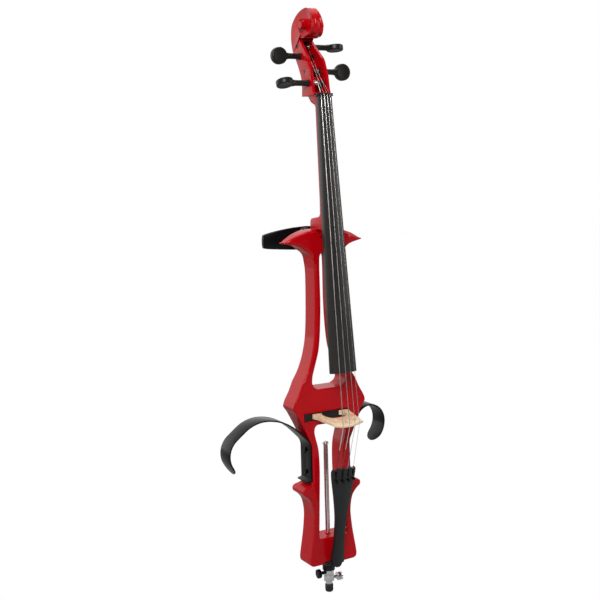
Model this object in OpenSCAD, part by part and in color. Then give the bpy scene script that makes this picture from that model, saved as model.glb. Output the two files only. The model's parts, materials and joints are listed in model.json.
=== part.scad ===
// Electric cello with an open frame body, all sizes in millimetres.
// The origin is the lowest point of the endpin's foot, +Z runs up the strings,
// the strings face -Y and the player sits on the +Y side.

/* [Body] */
// Thickness of the body board, front to back
body_t = 49; // [44:0.5:54]
// Height of the solid block under the lower opening
bottom_block_h = 56; // [50:1:64]
// Height of the lower opening
lower_open_h = 243.5; // [235:0.5:255]
// Height of the solid hip between the two openings
hip_h = 75.5; // [70:0.5:84]
// Height of the upper opening
upper_open_h = 288; // [270:1:310]
// Height of the solid block above the upper opening
top_block_h = 50; // [46:1:56]
// Half width of the body near its foot
foot_half_w = 57.6; // [54:0.2:64]
// Half width at the horn tips
horn_half_w = 71.4; // [68:0.2:80]
// Half width of the straight flank that carries the leg rests
flank_half_w = 45.5; // [45:0.1:48]
// Half width at the hip points
hip_half_w = 88.9; // [84:0.2:96]
// Half width of the slim upper frame
stem_half_w = 28.3; // [27:0.1:32]
// Widest half width of the upper opening
upper_open_half_w = 41.4; // [38:0.2:44]
// Narrowest half width of the upper opening
upper_slot_half_w = 16.3; // [14:0.1:18]
// Narrowest half width of the lower opening
lower_open_half_w = 28.8; // [27:0.1:31]
// Sideways reach of each wing
wing_reach = 100.5; // [90:0.5:115]
// Drop of the wing tips under the body's top
wing_drop = 25.4; // [22:0.2:30]

/* [Neck] */
// Distance from the body's top to the upper end of the fingerboard
neck_len = 281; // [270:1:295]
// Depth of the neck behind the fingerboard at the nut end
neck_t = 18; // [16:0.2:21]
// Depth of the neck behind the fingerboard above the heel
heel_neck_t = 20.5; // [18:0.2:23]
// Height of the heel block on the body's top
heel_h = 24; // [20:0.5:28]
// Lift of the neck's glue face in front of the body at the heel
neck_stand = 24.6; // [21:0.2:28]
// Lift of the neck's glue face at the nut end
nut_stand = 3; // [1:0.2:6]
// Length of the heel's tongue down the body's front
tongue_len = 18; // [12:1:30]

/* [Fingerboard] */
// Length of the fingerboard
board_len = 577; // [560:1:590]
// Half width of the fingerboard at the nut
board_half_w_nut = 16.5; // [15:0.1:18]
// Half width of the fingerboard at its free end
board_half_w_end = 31.7; // [30:0.1:34]
// Thickness of the fingerboard's edge at the nut
board_edge_t = 9; // [7:0.2:11]
// Thickness of the fingerboard's edge at its free end
board_end_t = 5; // [4:0.2:7]
// Rise of the free end's lower edge in front of the body
board_end_stand = 53.2; // [50:0.2:57]
// Radius of the fingerboard's crown
board_r = 65; // [55:1:80]
// Depth of the scoop under the free end
board_scoop = 5; // [3:0.2:7]

/* [Nut] */
// Thickness of the nut along the strings
nut_t = 6; // [5:0.2:8]
// Half width of the nut
nut_half_w = 19.5; // [18.5:0.1:21]
// Rise of the nut's crown over the fingerboard
nut_rise = 1.6; // [1:0.1:2.5]

/* [Pegbox and scroll] */
// Half width of the pegbox at the nut
pegbox_half_w = 22.5; // [21.5:0.1:24]
// Half width of the pegbox under the scroll
throat_half_w = 16.5; // [16:0.1:18]
// Thickness of the pegbox cheeks
cheek_t = 6.5; // [5.5:0.1:7]
// Half width across the second turn of the scroll
turn_half_w = 22; // [20:0.2:24]
// Half width across the scroll's ears
ear_half_w = 27.5; // [25.5:0.2:30]
// Radius of the scroll's ears
ear_r = 7.5; // [6:0.1:8.5]

/* [Pegs] */
// Radius of a peg's shaft on the head side
peg_r_head = 6.2; // [6:0.1:6.8]
// Radius of a peg's shaft between the cheeks
peg_r_mid = 5.5; // [5.2:0.1:5.9]
// Radius of a peg's small end
peg_r_end = 4.8; // [4.4:0.1:5.1]
// Radius of a peg's disc head
peg_head_r = 18.5; // [16:0.5:20]
// Thickness of a peg's disc head
peg_head_t = 13; // [9:0.2:14]
// Radial running clearance of turning shafts
turn_gap = 0.05; // [0.02:0.01:0.09]

/* [Strings] */
// Diameters of the strings C, G, D and A
string_gauge = [1.75, 1.4, 1.1, 0.85]; // [0.7:0.05:2]
// Spacing of the strings at the nut
nut_pitch = 7.34; // [6.8:0.02:7.8]
// Spacing of the strings at the bridge
bridge_pitch = 14.4; // [13.6:0.1:15.2]
// Loops that each string makes round its peg
peg_loops = 4; // [3:1:5]
// Free gap between one loop and the next
loop_gap = 0.6; // [0.5:0.05:0.8]

/* [Bridge] */
// Height of the bridge's crown in front of the body
bridge_h = 86.8; // [84:0.2:92]
// Thickness of the bridge at its feet
bridge_foot_t = 9.5; // [8.5:0.1:11]
// Thickness of the bridge at its crown
bridge_crown_t = 3; // [2.5:0.1:4]
// Half width across the bridge's feet
bridge_foot_half_w = 44.4; // [43:0.2:46]
// Radius of the bridge's crown
bridge_arch_r = 52; // [46:1:60]
// Fall of the crown from the C side to the A side, per millimetre
bridge_slope = 0.14; // [0.06:0.01:0.16]
// How far the bridge's crown stands below its feet
bridge_lean = 5; // [2:0.2:6]

/* [Pickup] */
// Length of the pickup bar
pickup_len = 111; // [100:1:114]
// Width of the pickup bar along the strings
pickup_w = 15; // [14:0.2:17]
// Depth of the pickup bar's recess
pickup_depth = 5; // [4:0.2:6]

/* [Tailpiece] */
// Length of the tailpiece
tail_len = 222; // [210:1:226]
// Half width of the tailpiece at its wide end
tail_half_w = 29; // [28:0.2:31]
// Half width of the tailpiece at its waist
tail_waist_half_w = 10.8; // [10:0.1:12]
// Greatest thickness of the tailpiece
tail_t = 11; // [10:0.2:12.5]
// Radius of the tailpiece's arched front
tail_arch_r = 60; // [55:1:75]
// Lean of the tailpiece away from the body
tail_tilt = 10.7; // [10:0.05:12]
// Sideways spacing of the fine tuners
tuner_pitch = 14; // [13:0.1:14.6]
// Radius of a fine tuner's knurled head
tuner_head_r = 3; // [2.4:0.1:4.5]

/* [Saddle and tail gut] */
// Half length of the saddle
saddle_half_w = 22; // [18:0.5:26]
// Rise of the saddle in front of the body
saddle_rise = 4; // [3.6:0.2:5]
// Diameter of the tail gut
gut_d = 2.5; // [2:0.1:3]

/* [Endpin] */
// Height of the rubber foot
foot_h = 17; // [14:0.5:18]
// Height of the ferrule over the rubber foot
ferrule_h = 7; // [5:0.5:9]
// Height of the lower collar
lower_collar_h = 13.6; // [12:0.2:16]
// Height of the upper collar
upper_collar_h = 10.4; // [9:0.2:13]
// Height of the plug's flange under the body
flange_h = 22; // [19:0.5:24]
// Radius of the plug's flange
flange_r = 13.4; // [13:0.2:16]
// Radius of the plug's stem inside the body
plug_r = 12.5; // [11.5:0.1:12.8]
// Length of the plug's stem inside the body
plug_len = 40; // [30:1:46]
// Radius of the endpin tube
tube_r = 5; // [4.6:0.1:5.4]
// Radius of the inner rod
rod_r = 3.2; // [2.8:0.1:3.5]
// Height of the tube's top over the foot's lowest point
tube_top = 320; // [280:1:324]
// Length of the inner rod inside the tube
rod_len = 285; // [200:1:290]
// Radii of the left and right thumbscrew discs
thumb_disc_r = [9.5, 9]; // [8:0.1:10.5]
// Thicknesses of the left and right thumbscrew discs
thumb_disc_t = [6, 10]; // [4:0.5:11]
// Distances of the discs' inner faces from the endpin's axis
thumb_disc_x = [22, 21]; // [18:0.2:26]

/* [Leg rests] */
// Thickness of the bent bands
band_t = 3; // [2.5:0.1:4]
// Width of the bent bands, front to back
band_w = 44; // [40:0.5:46]
// Height of the flat plates' lower end over the lower opening's floor
plate_rise = 124; // [118:1:126]
// Height of the leg rest screws over the plates' lower end
screw_rise = [18, 65]; // [14:1:68]
// Radius of the leg rest screws
leg_screw_r = 2.5; // [2:0.1:3]

/* [Chest rest] */
// Radius of the chest rest's curve
chest_r = 200; // [180:1:230]
// Half length of the chest rest
chest_half_w = 95; // [85:1:105]
// Thickness of the chest rest's plate
chest_t = 4; // [3:0.2:5]
// Thickness of the chest rest's pad
pad_t = 4; // [3:0.2:6]
// Gap between the body's back and the chest rest
chest_gap = 29; // [28:0.5:34]
// Height of the chest rest
chest_h = 52; // [46:1:58]

/* [Electronics] */
// Half width of the back panel
panel_half_w = 58; // [56:0.5:62]
// Height of the back panel
panel_h = 64; // [62:0.5:66]
// Thickness of the back panel
panel_t = 2; // [1.6:0.1:3]
// Depth of the electronics pocket
pocket_depth = 33; // [31:0.5:35]
// Radius of the control knobs
knob_r = 9; // [8:0.2:10]
// Inner radius of the output jack
jack_r = 3.2; // [3.1:0.05:3.3]
// Inner radius of the headphone jack
mini_jack_r = 1.8; // [1.75:0.05:1.9]

/* [Hidden] */
$fn = 48;

// Colours of the materials
lacquer_red = [0.72, 0.02, 0.06];
ebony_black = [0.08, 0.08, 0.08];
maple_pale = [0.86, 0.72, 0.5];
steel_grey = [0.7, 0.71, 0.73];
string_steel = [0.55, 0.55, 0.57];

// Small distances: a face that must pass through, and a free gap between moving pieces
eps = 1;
free_gap = 0.3;

// Heights, from the foot up
body_z = foot_h + ferrule_h + lower_collar_h + upper_collar_h + flange_h;
lower_z0 = body_z + bottom_block_h;
lower_z1 = lower_z0 + lower_open_h;
upper_z0 = lower_z1 + hip_h;
upper_z1 = upper_z0 + upper_open_h;
top_z = upper_z1 + top_block_h;
nut_z = top_z + neck_len;
bridge_z = lower_z1 + 15;
crown_z0 = bridge_z - bridge_lean;
horn_z = lower_z0 + 105;
hip_z = lower_z1 + 39;
join_z = upper_z1 - 15;
plate_z = lower_z0 + plate_rise;

// The board's front and back faces
front_y = -body_t / 2;
back_y = body_t / 2;

// Curve through chosen points, n steps from each point to the next
function knot(a, b) = sqrt(norm(b - a));
function between(a, b, ta, tb, t) = ((tb - t) * a + (t - ta) * b) / (tb - ta);
function span(a, b, c, d, u) =
  let (tb = knot(a, b), tc = tb + knot(b, c), td = tc + knot(c, d), t = tb + (tc - tb) * u)
  let (ab = between(a, b, 0, tb, t), bc = between(b, c, tb, tc, t), cd = between(c, d, tc, td, t))
  between(between(ab, bc, 0, tc, t), between(bc, cd, tb, td, t), tb, tc, t);
function smooth(p, n) = let (last = len(p) - 1)
  [for (i = [0 : last - 1], k = [0 : n - 1])
    span(i == 0 ? 2 * p[0] - p[1] : p[i - 1], p[i], p[i + 1],
      i + 2 > last ? 2 * p[last] - p[last - 1] : p[i + 2], k / n), p[last]];
function back_to_front(p) = [for (i = [len(p) - 1 : -1 : 0]) p[i]];
function mirrored(p) = concat(p, [for (q = back_to_front(p)) [-q[0], q[1]]]);
function arc(cx, cy, r, a0, a1, n) = [for (k = [0 : n]) let (a = a0 + (a1 - a0) * k / n)
  [cx + r * cos(a), cy + r * sin(a)]];

// Slabs drawn in one plane and thickened along the third axis
module xz_slab(y0, y1) { translate([0, y1, 0]) rotate([90, 0, 0]) linear_extrude(y1 - y0) children(); }
module yz_slab(x0, x1) { translate([x0, 0, 0]) rotate([90, 0, 90]) linear_extrude(x1 - x0) children(); }
module xy_slab(z0, z1) { translate([0, 0, z0]) linear_extrude(z1 - z0) children(); }
module rod_x(x0, x1, r) { translate([x0, 0, 0]) rotate([0, 90, 0]) cylinder(h = x1 - x0, r = r); }
module rod_y(y0, y1, r) { translate([0, y0, 0]) rotate([-90, 0, 0]) cylinder(h = y1 - y0, r = r); }
module block(lo, hi) { translate(lo) cube(hi - lo); }

// Tube swept along a route, each ring square to the route
function unit(v) = v / norm(v);
function heading(p, i) = let (last = len(p) - 1)
  i == 0 ? unit(p[1] - p[0]) : i == last ? unit(p[last] - p[last - 1]) :
    unit(unit(p[i] - p[i - 1]) + unit(p[i + 1] - p[i]));
function sideways(p) = [for (i = 0, e = unit(cross(heading(p, 0), [0.31, 0.52, 0.11])); i < len(p);
  i = i + 1, e = i < len(p) ? unit(e - (e * heading(p, i)) * heading(p, i)) : e) e];
function rings(p, r, sides) = let (e = sideways(p))
  [for (i = [0 : len(p) - 1], k = [0 : sides - 1]) let (f = cross(heading(p, i), e[i]))
    p[i] + r * (cos(360 * k / sides) * e[i] + sin(360 * k / sides) * f)];
module tube(p, r, sides) {
  n = len(p);
  polyhedron(points = rings(p, r, sides), faces = concat(
    [for (i = [0 : n - 2], k = [0 : sides - 1])
      [i * sides + k, (i + 1) * sides + (k + 1) % sides, i * sides + (k + 1) % sides]],
    [for (i = [0 : n - 2], k = [0 : sides - 1])
      [i * sides + k, (i + 1) * sides + k, (i + 1) * sides + (k + 1) % sides]],
    [for (k = [1 : sides - 2]) [0, k, k + 1]],
    [for (k = [1 : sides - 2]) let (b = (n - 1) * sides) [b, b + k + 1, b + k]]));
}

// Least distance between two stretches of a coil that lie at least half a loop apart
function least_gap(p, apart, d) = min([for (i = [0 : len(p) - 1 - apart], j = [i + apart : len(p) - 1])
  norm(p[i] - p[j]) - d]);

// Solid skinned over rings of points, closed by a fan round each end's middle
function middle(p) = [for (i = [0 : 2]) (min([for (q = p) q[i]]) + max([for (q = p) q[i]])) / 2];
module skin(sections) {
  n = len(sections[0]);
  rows = len(sections);
  first = rows * n;
  polyhedron(points = concat([for (s = sections) each s], [middle(sections[0]), middle(sections[rows - 1])]),
    faces = concat(
    [for (k = [0 : n - 1]) [first, k, (k + 1) % n]],
    [for (i = [0 : rows - 2], k = [0 : n - 1])
      [i * n + k, (i + 1) * n + k, (i + 1) * n + (k + 1) % n]],
    [for (i = [0 : rows - 2], k = [0 : n - 1])
      [i * n + k, (i + 1) * n + (k + 1) % n, i * n + (k + 1) % n]],
    [for (k = [0 : n - 1]) [first + 1, (rows - 1) * n + (k + 1) % n, (rows - 1) * n + k]]));
}

// Body outline, as half width and height, from the foot to the joint with the wings
body_side = concat(
  smooth([[foot_half_w - 7.6, body_z], [foot_half_w - 2.2, body_z + 3], [foot_half_w, body_z + 10],
    [foot_half_w - 1, body_z + 20], [foot_half_w - 4.8, body_z + 42], [49, lower_z0 + 8],
    [46, lower_z0 + 34], [45.2, lower_z0 + 49], [47.6, horn_z - 36], [52.4, horn_z - 22],
    [62, horn_z - 11], [horn_half_w - 2.9, horn_z - 6.4], [horn_half_w, horn_z - 2.5],
    [horn_half_w - 0.1, horn_z + 3.5], [horn_half_w - 4.4, horn_z + 7.8],
    [57, horn_z + 10.2], [49.2, horn_z + 13.5], [flank_half_w, horn_z + 19]], 3),
  smooth([[flank_half_w, horn_z + 89], [flank_half_w + 0.2, horn_z + 94], [flank_half_w + 1.4, horn_z + 98.5],
    [flank_half_w + 2.5, horn_z + 101.2], [54.7, lower_z1 - 23.5],
    [60.1, lower_z1 - 12.5], [66.4, lower_z1 + 0.5],
    [hip_half_w - 12.9, hip_z - 20.5], [hip_half_w - 6.4, hip_z - 9.5],
    [hip_half_w - 2.3, hip_z - 4.3], [hip_half_w, hip_z], [hip_half_w - 0.9, hip_z + 6],
    [hip_half_w - 4.9, hip_z + 15.5], [hip_half_w - 10.4, hip_z + 24.5],
    [73, upper_z0 - 2], [65, upper_z0 + 16], [54.5, upper_z0 + 33], [42.5, upper_z0 + 62],
    [34, upper_z0 + 99], [30.2, upper_z0 + 140], [stem_half_w + 0.3, upper_z1 - 99],
    [stem_half_w - 0.3, upper_z1 - 67], [stem_half_w + 0.3, upper_z1 - 35],
    [stem_half_w + 3.3, join_z]], 3));

// Wing outline from the joint up, as half width and height
wing_side = smooth([[stem_half_w + 3.3, join_z], [stem_half_w + 6.2, upper_z1 - 5],
  [41, upper_z1 + 2], [51, upper_z1 + 8], [60, upper_z1 + 14], [73, upper_z1 + 18.7],
  [wing_reach - 10, top_z - wing_drop - 2.6], [wing_reach - 1.2, top_z - wing_drop - 1.2],
  [wing_reach, top_z - wing_drop], [wing_reach - 1.2, top_z - wing_drop + 0.9],
  [91, top_z - 22.6], [80, top_z - 17], [67, top_z - 10.5], [54, top_z - 6],
  [42, top_z - 2.6], [30, top_z - 0.5], [18, top_z]], 3);

// Wing outline seen from above, as half width and depth
wing_plan = smooth([[30, front_y], [44, front_y + 0.6], [60, front_y + 2.2], [80, front_y + 6.2],
  [wing_reach - 7, front_y + 11.5], [wing_reach - 1.2, front_y + 16], [wing_reach, front_y + 19.5],
  [wing_reach - 2.5, front_y + 25], [wing_reach - 14, back_y - 15], [70, back_y - 9.5],
  [50, back_y - 3], [34, back_y]], 3);

// Opening outlines, as half width and height
lower_opening = smooth([[lower_open_half_w + 2.5, lower_z0], [lower_open_half_w + 4.6, lower_z0 + 2.5],
  [lower_open_half_w + 4.8, lower_z0 + 12], [lower_open_half_w + 3.7, lower_z0 + 42],
  [lower_open_half_w + 2.2, lower_z0 + 84], [lower_open_half_w + 0.5, lower_z0 + 126],
  [lower_open_half_w, lower_z0 + 152], [lower_open_half_w + 0.9, lower_z1 - 63],
  [lower_open_half_w + 3, lower_z1 - 46.5], [36, lower_z1 - 30.5], [39, lower_z1 - 17.5],
  [39, lower_z1 - 9.5], [36.4, lower_z1 - 3.5], [31.4, lower_z1]], 3);
upper_opening = smooth([[28, upper_z0], [32.6, upper_z0 + 2.5], [38.6, upper_z0 + 7.5],
  [upper_open_half_w, upper_z0 + 14], [upper_open_half_w - 0.2, upper_z0 + 22],
  [upper_open_half_w - 1.6, upper_z0 + 31], [36.3, upper_z0 + 42], [29.6, upper_z0 + 63],
  [24, upper_z0 + 83], [upper_slot_half_w + 3.8, upper_z0 + 113],
  [upper_slot_half_w + 1.3, upper_z0 + 150], [upper_slot_half_w, upper_z1 - 99],
  [upper_slot_half_w, upper_z1 - 14], [upper_slot_half_w - 1.6, upper_z1 - 5],
  [upper_slot_half_w - 5, upper_z1 - 1], [upper_slot_half_w - 8, upper_z1]], 3);

// Electronics pocket and panel in the hip's back
panel_z0 = upper_z0 - 5 - panel_h;
pocket_z0 = panel_z0 + 6;
pocket_z1 = panel_z0 + panel_h - 6;
pocket_half_w = panel_half_w - 8;
pocket_y = back_y - pocket_depth;
panel_y = back_y - panel_t;
post_h = 4.5;
post_r = 3;
board_lo = [-46, pocket_y + post_h, pocket_z0 + 4];
board_hi = [10, pocket_y + post_h + 1.6, pocket_z1 - 4];
post_places = [for (x = [board_lo[0] + 4, board_hi[0] - 4], z = [board_lo[2] + 4, board_hi[2] - 4]) [x, z]];
panel_screw_places = [for (x = [-1, 1], z = [panel_z0 + 3.2, panel_z0 + panel_h - 3.2])
  [x * (panel_half_w - 4), z]];
panel_screw_r = 1.5;
panel_screw_len = 10;
element_t = 1.5;
element_w = 4;
element_half_len = 45;
pickup_x0 = -63;
pickup_z = bridge_z + 3.5;
lead_r = 1.2;
lead_hole_r = 1.6;

// Output jack in the hip's lower face, headphone jack in the right rail
jack_x = -22;
jack_y = 8;
jack_body_r = 7;
jack_len = 28;
jack_flange_r = 9;
jack_flange_t = 2;
mini_z = lower_z0 + 14;
mini_y = front_y + 7.5;
mini_x = lower_open_half_w + 4.7;
mini_body_r = 4;
mini_len = 12;
lead_y = pocket_y + 2.5;
channel_top = [flank_half_w - 3, lead_y, pocket_z0 + 1];
channel_end = [mini_x + 7, mini_y, mini_z + mini_body_r];
channel_r = 1.8;

// Leg rest screws
screw_y = front_y + 26;
insert_r = 3.5;
insert_len = 12;
screw_heights = [for (h = screw_rise) plate_z + h];

// Chest rest
bracket_t = 3;
bracket_half_w = 26;
bracket_h = 44;
bracket_drop = 8;
stud_r = 3;
stud_x = 15.5;
stud_y = back_y + 14;
chest_knob_r = 9;
bracket_screw_r = 1.8;
bracket_screw_len = 16;
bracket_screw_z = [top_z - 18, top_z - 34];

module body_frame() {
  color(lacquer_red) difference() {
    union() {
      xz_slab(front_y, back_y) polygon(mirrored(body_side));
      intersection() {
        xz_slab(front_y, back_y) polygon(mirrored(wing_side));
        xy_slab(join_z - eps, top_z + eps) polygon(mirrored(wing_plan));
      }
    }
    xz_slab(front_y - eps, back_y + eps) polygon(mirrored(lower_opening));
    xz_slab(front_y - eps, back_y + eps) polygon(mirrored(upper_opening));
    // Endpin bores
    translate([0, 0, body_z - eps]) cylinder(h = plug_len + eps, r = plug_r);
    translate([0, 0, body_z]) cylinder(h = bottom_block_h + eps, r = tube_r + 1);
    // Saddle notch, pickup bar recess and pickup element groove
    block([-saddle_half_w, front_y - eps, body_z - eps], [saddle_half_w, front_y + 12, body_z + 6]);
    block([pickup_x0, front_y - eps, pickup_z - pickup_w / 2],
      [pickup_x0 + pickup_len, front_y + pickup_depth, pickup_z + pickup_w / 2]);
    block([-element_half_len, front_y, pickup_z - element_w / 2],
      [element_half_len, front_y + pickup_depth + element_t, pickup_z + element_w / 2]);
    translate([0, 0, pickup_z]) rod_y(front_y, pocket_y + eps, lead_hole_r);
    // Electronics pocket with posts left standing, and the panel's recess
    difference() {
      block([-pocket_half_w, pocket_y, pocket_z0], [pocket_half_w, back_y, pocket_z1]);
      for (p = post_places) translate([p[0], 0, p[1]]) rod_y(pocket_y - eps, board_lo[1], post_r);
    }
    block([-panel_half_w, panel_y, panel_z0], [panel_half_w, back_y + eps, panel_z0 + panel_h]);
    for (p = panel_screw_places)
      translate([p[0], 0, p[1]]) rod_y(back_y - panel_screw_len, back_y, panel_screw_r);
    // Jack holes and the lead channel between them
    translate([jack_x, jack_y, lower_z1 - eps]) cylinder(h = pocket_z0 - lower_z1 + 2 * eps, r = jack_body_r);
    translate([0, mini_y, mini_z]) rod_x(mini_x - 3, mini_x + mini_len, mini_body_r);
    drilled(channel_top, channel_end, channel_r);
    // Recess for the battery box
    block([box_x0, back_y - box_depth, box_z0], [box_x1, back_y + eps, box_z1]);
    // Threaded insert holes and bracket screw holes
    for (side = [-1, 1], z = screw_heights) translate([0, screw_y, z])
      rod_x(side < 0 ? -flank_half_w - eps : flank_half_w - insert_len,
        side < 0 ? -flank_half_w + insert_len : flank_half_w + eps, insert_r);
    for (z = bracket_screw_z) translate([0, 0, z])
      rod_y(back_y - bracket_screw_len, back_y + eps, bracket_screw_r);
  }
}

// Straight round hole from a to b, run a little past both
module drilled(a, b, r) {
  v = unit(b - a);
  translate(a - eps * v) rotate([0, acos(v[2]), atan2(v[1], v[0])]) cylinder(h = norm(b - a) + 2 * eps, r = r);
}

// Half width of the fingerboard, and lifts of its underside and front edge, at height z
board_z0 = nut_z - board_len;
function board_half_w(z) = board_half_w_nut + (board_half_w_end - board_half_w_nut) * (nut_z - z) / board_len;
function glue_y(z) = front_y - nut_stand - (neck_stand - nut_stand) * (nut_z - z) / neck_len;
function under_y(z) = z >= top_z ? glue_y(z) :
  glue_y(top_z) - (board_end_stand - neck_stand) * (top_z - z) / (top_z - board_z0);
function edge_y(z) = front_y - nut_stand - board_edge_t
  - (board_end_stand + board_end_t - nut_stand - board_edge_t) * (nut_z - z) / board_len;
function crown(x, w, r) = sqrt(r * r - x * x) - sqrt(r * r - w * w);
function board_front_y(x, z) = edge_y(z) - crown(x, board_half_w(z), board_r);

// Neck cross sections: height, back lift from the front face, half width, squareness
neck_rows = [
  [top_z, 38, board_half_w(top_z) - 0.5, 4.5], [top_z + heel_h - 9, 38, board_half_w(top_z) - 0.5, 4.5],
  [top_z + heel_h - 4, 36.6, board_half_w(top_z) - 0.6, 4.2],
  [top_z + heel_h - 1, 33, board_half_w(top_z) - 0.7, 4], [top_z + heel_h + 0.5, 24, 23, 3.4],
  [top_z + heel_h + 2, 11, 22.8, 2.8], [top_z + heel_h + 4, 2.5, 22.6, 2.4],
  [top_z + heel_h + 9, heel_neck_t - 21.6, 22.2, 2.2],
  [top_z + heel_h + 40, heel_neck_t - 20.1, 21, 2.1],
  [nut_z - 60, neck_t - 7.5, board_half_w(nut_z - 60) - 0.5, 2.1],
  [nut_z - 23, neck_t - 4.8, board_half_w(nut_z - 23) - 0.5, 2.1],
  [nut_z - 18, neck_t - 1.5, 16.7, 2.2], [nut_z - 15, neck_t + 5, 16.7, 2.4],
  [nut_z - 12, neck_t + 13, 16.7, 2.6], [nut_z - 8, neck_t + 18, 16.8, 2.8],
  [nut_z - 3, neck_t + 22.5, 17, 3], [nut_z, neck_t + 24, 17, 3.1], [nut_z + 2, neck_t + 25, 17, 3.2]];
function neck_ring(row) = let (yf = glue_y(min(row[0], nut_z)), depth = front_y + row[1] - yf)
  [for (k = [0 : 16]) let (a = 180 * k / 16)
    [row[2] * sign(cos(a)) * pow(abs(cos(a)), 2 / row[3]), yf + depth * pow(sin(a), 2 / row[3]), row[0]]];

// Pegbox and scroll profiles, as lift from the front face and height over the nut's lower edge
function head_point(p) = [front_y + p[0], nut_z + p[1]];
function head_curve(p, n) = [for (q = smooth(p, n)) head_point(q)];
pegbox_outline = concat(
  head_curve([[-3, 2], [-3, 6], [1, 7.5]], 1),
  head_curve([[4, 19], [6, 35], [9, 52], [13, 63], [20, 81], [35, 97], [50, 113], [66, 130]], 3),
  head_curve([[64, 131.5], [50, 128], [32, 130], [18, 136], [12, 147], [12, 161], [17, 175],
    [28, 187], [40, 192.4], [59, 191], [82, 182], [98, 163], [99.5, 150], [98, 130],
    [94, 114], [88, 102], [73, 84], [61, 67], [55, 56], [48, 40], [45.5, 21], [46, 2]], 3));
cavity_outline = concat(
  head_curve([[-14, 7.5], [32, 8.5]], 1),
  head_curve([[35, 16], [36, 32], [39, 46], [49, 64], [61, 80], [74, 97], [81, 109], [81, 117],
    [76, 122]], 3),
  head_curve([[62, 124], [40, 121], [0, 70], [-14, 40]], 1));
pegbox_widths = [[nut_z + 2, pegbox_half_w], [nut_z + 63, pegbox_half_w - 1], [nut_z + 81, pegbox_half_w - 2],
  [nut_z + 97, pegbox_half_w - 3.5], [nut_z + 114, throat_half_w + 0.5], [nut_z + 131, throat_half_w],
  [nut_z + 150, throat_half_w - 1.3], [nut_z + 170, throat_half_w - 4], [nut_z + 185, throat_half_w - 6],
  [nut_z + 200, throat_half_w - 7]];
function pegbox_w(z) = lookup(z, pegbox_widths);
eye = head_point([38, 154]);
first_turn_r = 24.7;
turn_ratio = 0.378;
function spiral(a0) = [for (k = [0 : 24])
  let (a = a0 + 15 * k, r = first_turn_r * pow(turn_ratio, (a - 256) / 360))
  eye + r * [cos(a), sin(a)]];

// Peg places: side of the head, lift and height of the axis, head centre, turn of the head
peg_side = [-1, -1, 1, 1];
peg_lift = [18.4, 55.5, 69, 33.6];
peg_rise = [28.8, 89.6, 111.9, 55.3];
peg_head_x = [79, 71, 77, 72];
peg_turn = [70, 0, 83, 0];
shoulder_gap = 1.2;
function peg_y(i) = front_y + peg_lift[i];
function peg_z(i) = nut_z + peg_rise[i];

module neck() {
  color(lacquer_red) difference() {
    union() {
      skin([for (row = neck_rows) neck_ring(row)]);
      // Tongue down the body's front
      intersection() {
        xy_slab(top_z - tongue_len, top_z) polygon([[-17, front_y], [-14, glue_y(top_z)],
          [14, glue_y(top_z)], [17, front_y]]);
        yz_slab(-20, 20) polygon([[front_y, top_z - tongue_len], [under_y(top_z), top_z],
          [front_y, top_z]]);
      }
      intersection() {
        yz_slab(-pegbox_half_w - eps, pegbox_half_w + eps) polygon(pegbox_outline);
        xz_slab(front_y - 10, front_y + 110) polygon(mirrored([for (p = pegbox_widths) [p[1], p[0]]]));
      }
      yz_slab(-turn_half_w, turn_half_w) polygon(spiral(256));
      yz_slab(-(turn_half_w + ear_half_w) / 2, (turn_half_w + ear_half_w) / 2) polygon(spiral(436));
      translate([0, eye[0], eye[1]]) rod_x(-ear_half_w, ear_half_w, ear_r);
    }
    intersection() {
      yz_slab(-pegbox_half_w, pegbox_half_w) polygon(cavity_outline);
      xz_slab(front_y - 20, front_y + 110)
        polygon(mirrored([for (p = pegbox_widths) [p[1] - cheek_t, p[0]]]));
    }
    for (i = [0 : 3]) translate([0, peg_y(i), peg_z(i)]) {
      if (peg_side[i] > 0) rod_x(0, 40, peg_r_head + turn_gap);
      if (peg_side[i] > 0) rod_x(-40, 0, peg_r_end + turn_gap);
      if (peg_side[i] < 0) rod_x(-40, 0, peg_r_head + turn_gap);
      if (peg_side[i] < 0) rod_x(0, 40, peg_r_end + turn_gap);
    }
  }
}

// Nut crown: its strings clear the fingerboard by the rise
string_r = string_gauge / 2;
nut_mid_z = nut_z + nut_t / 2;
function nut_y(x) = edge_y(nut_z) - nut_rise - crown(x, board_half_w_nut, board_r);
module nut() {
  color(ebony_black) difference() {
    xy_slab(nut_z, nut_z + nut_t) polygon(concat([[-nut_half_w, glue_y(nut_z)]],
      [for (k = [-6 : 6]) let (x = k * nut_half_w / 6) [x, nut_y(x)]], [[nut_half_w, glue_y(nut_z)]]));
    for (i = [0 : 3]) string_groove(i, 2);
  }
}

// Groove under string i, where point number k of its route bends over a crown
module string_groove(i, k) {
  route = string_route(i);
  for (far = [route[k - 1], route[k + 1]])
    drilled(route[k], route[k] + 10 * unit(far - route[k]), string_r[i] + turn_gap);
}
function nut_x(i) = (i - 1.5) * nut_pitch;

module fingerboard() {
  color(ebony_black) skin([for (z = [board_z0, (board_z0 + top_z) / 2, top_z, nut_z])
    let (w = board_half_w(z), scoop = z < top_z ? board_scoop * (top_z - z) / (top_z - board_z0) : 0)
    concat(
      [for (k = [0 : 12]) let (x = w - 2 * w * k / 12) [x, board_front_y(x, z), z]],
      [for (k = [0 : 8]) let (x = -w + 2 * w * k / 8) [x, under_y(z) - scoop * (1 - pow(x / w, 2)), z]])]);
}

// Disc head with a rounded rim and slightly hollow faces
head_round = 3;
head_hollow = 0.9;
module disc_head() {
  half = peg_head_t / 2;
  ring_r = peg_head_r - head_round;
  rotate_extrude() polygon(concat([[0, head_hollow - half], [ring_r - 4, head_hollow - half]],
    arc(ring_r, head_round - half, head_round, -90, 0, 6), arc(ring_r, half - head_round, head_round, 0, 90, 6),
    [[ring_r - 4, half - head_hollow], [0, half - head_hollow]]));
}

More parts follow.
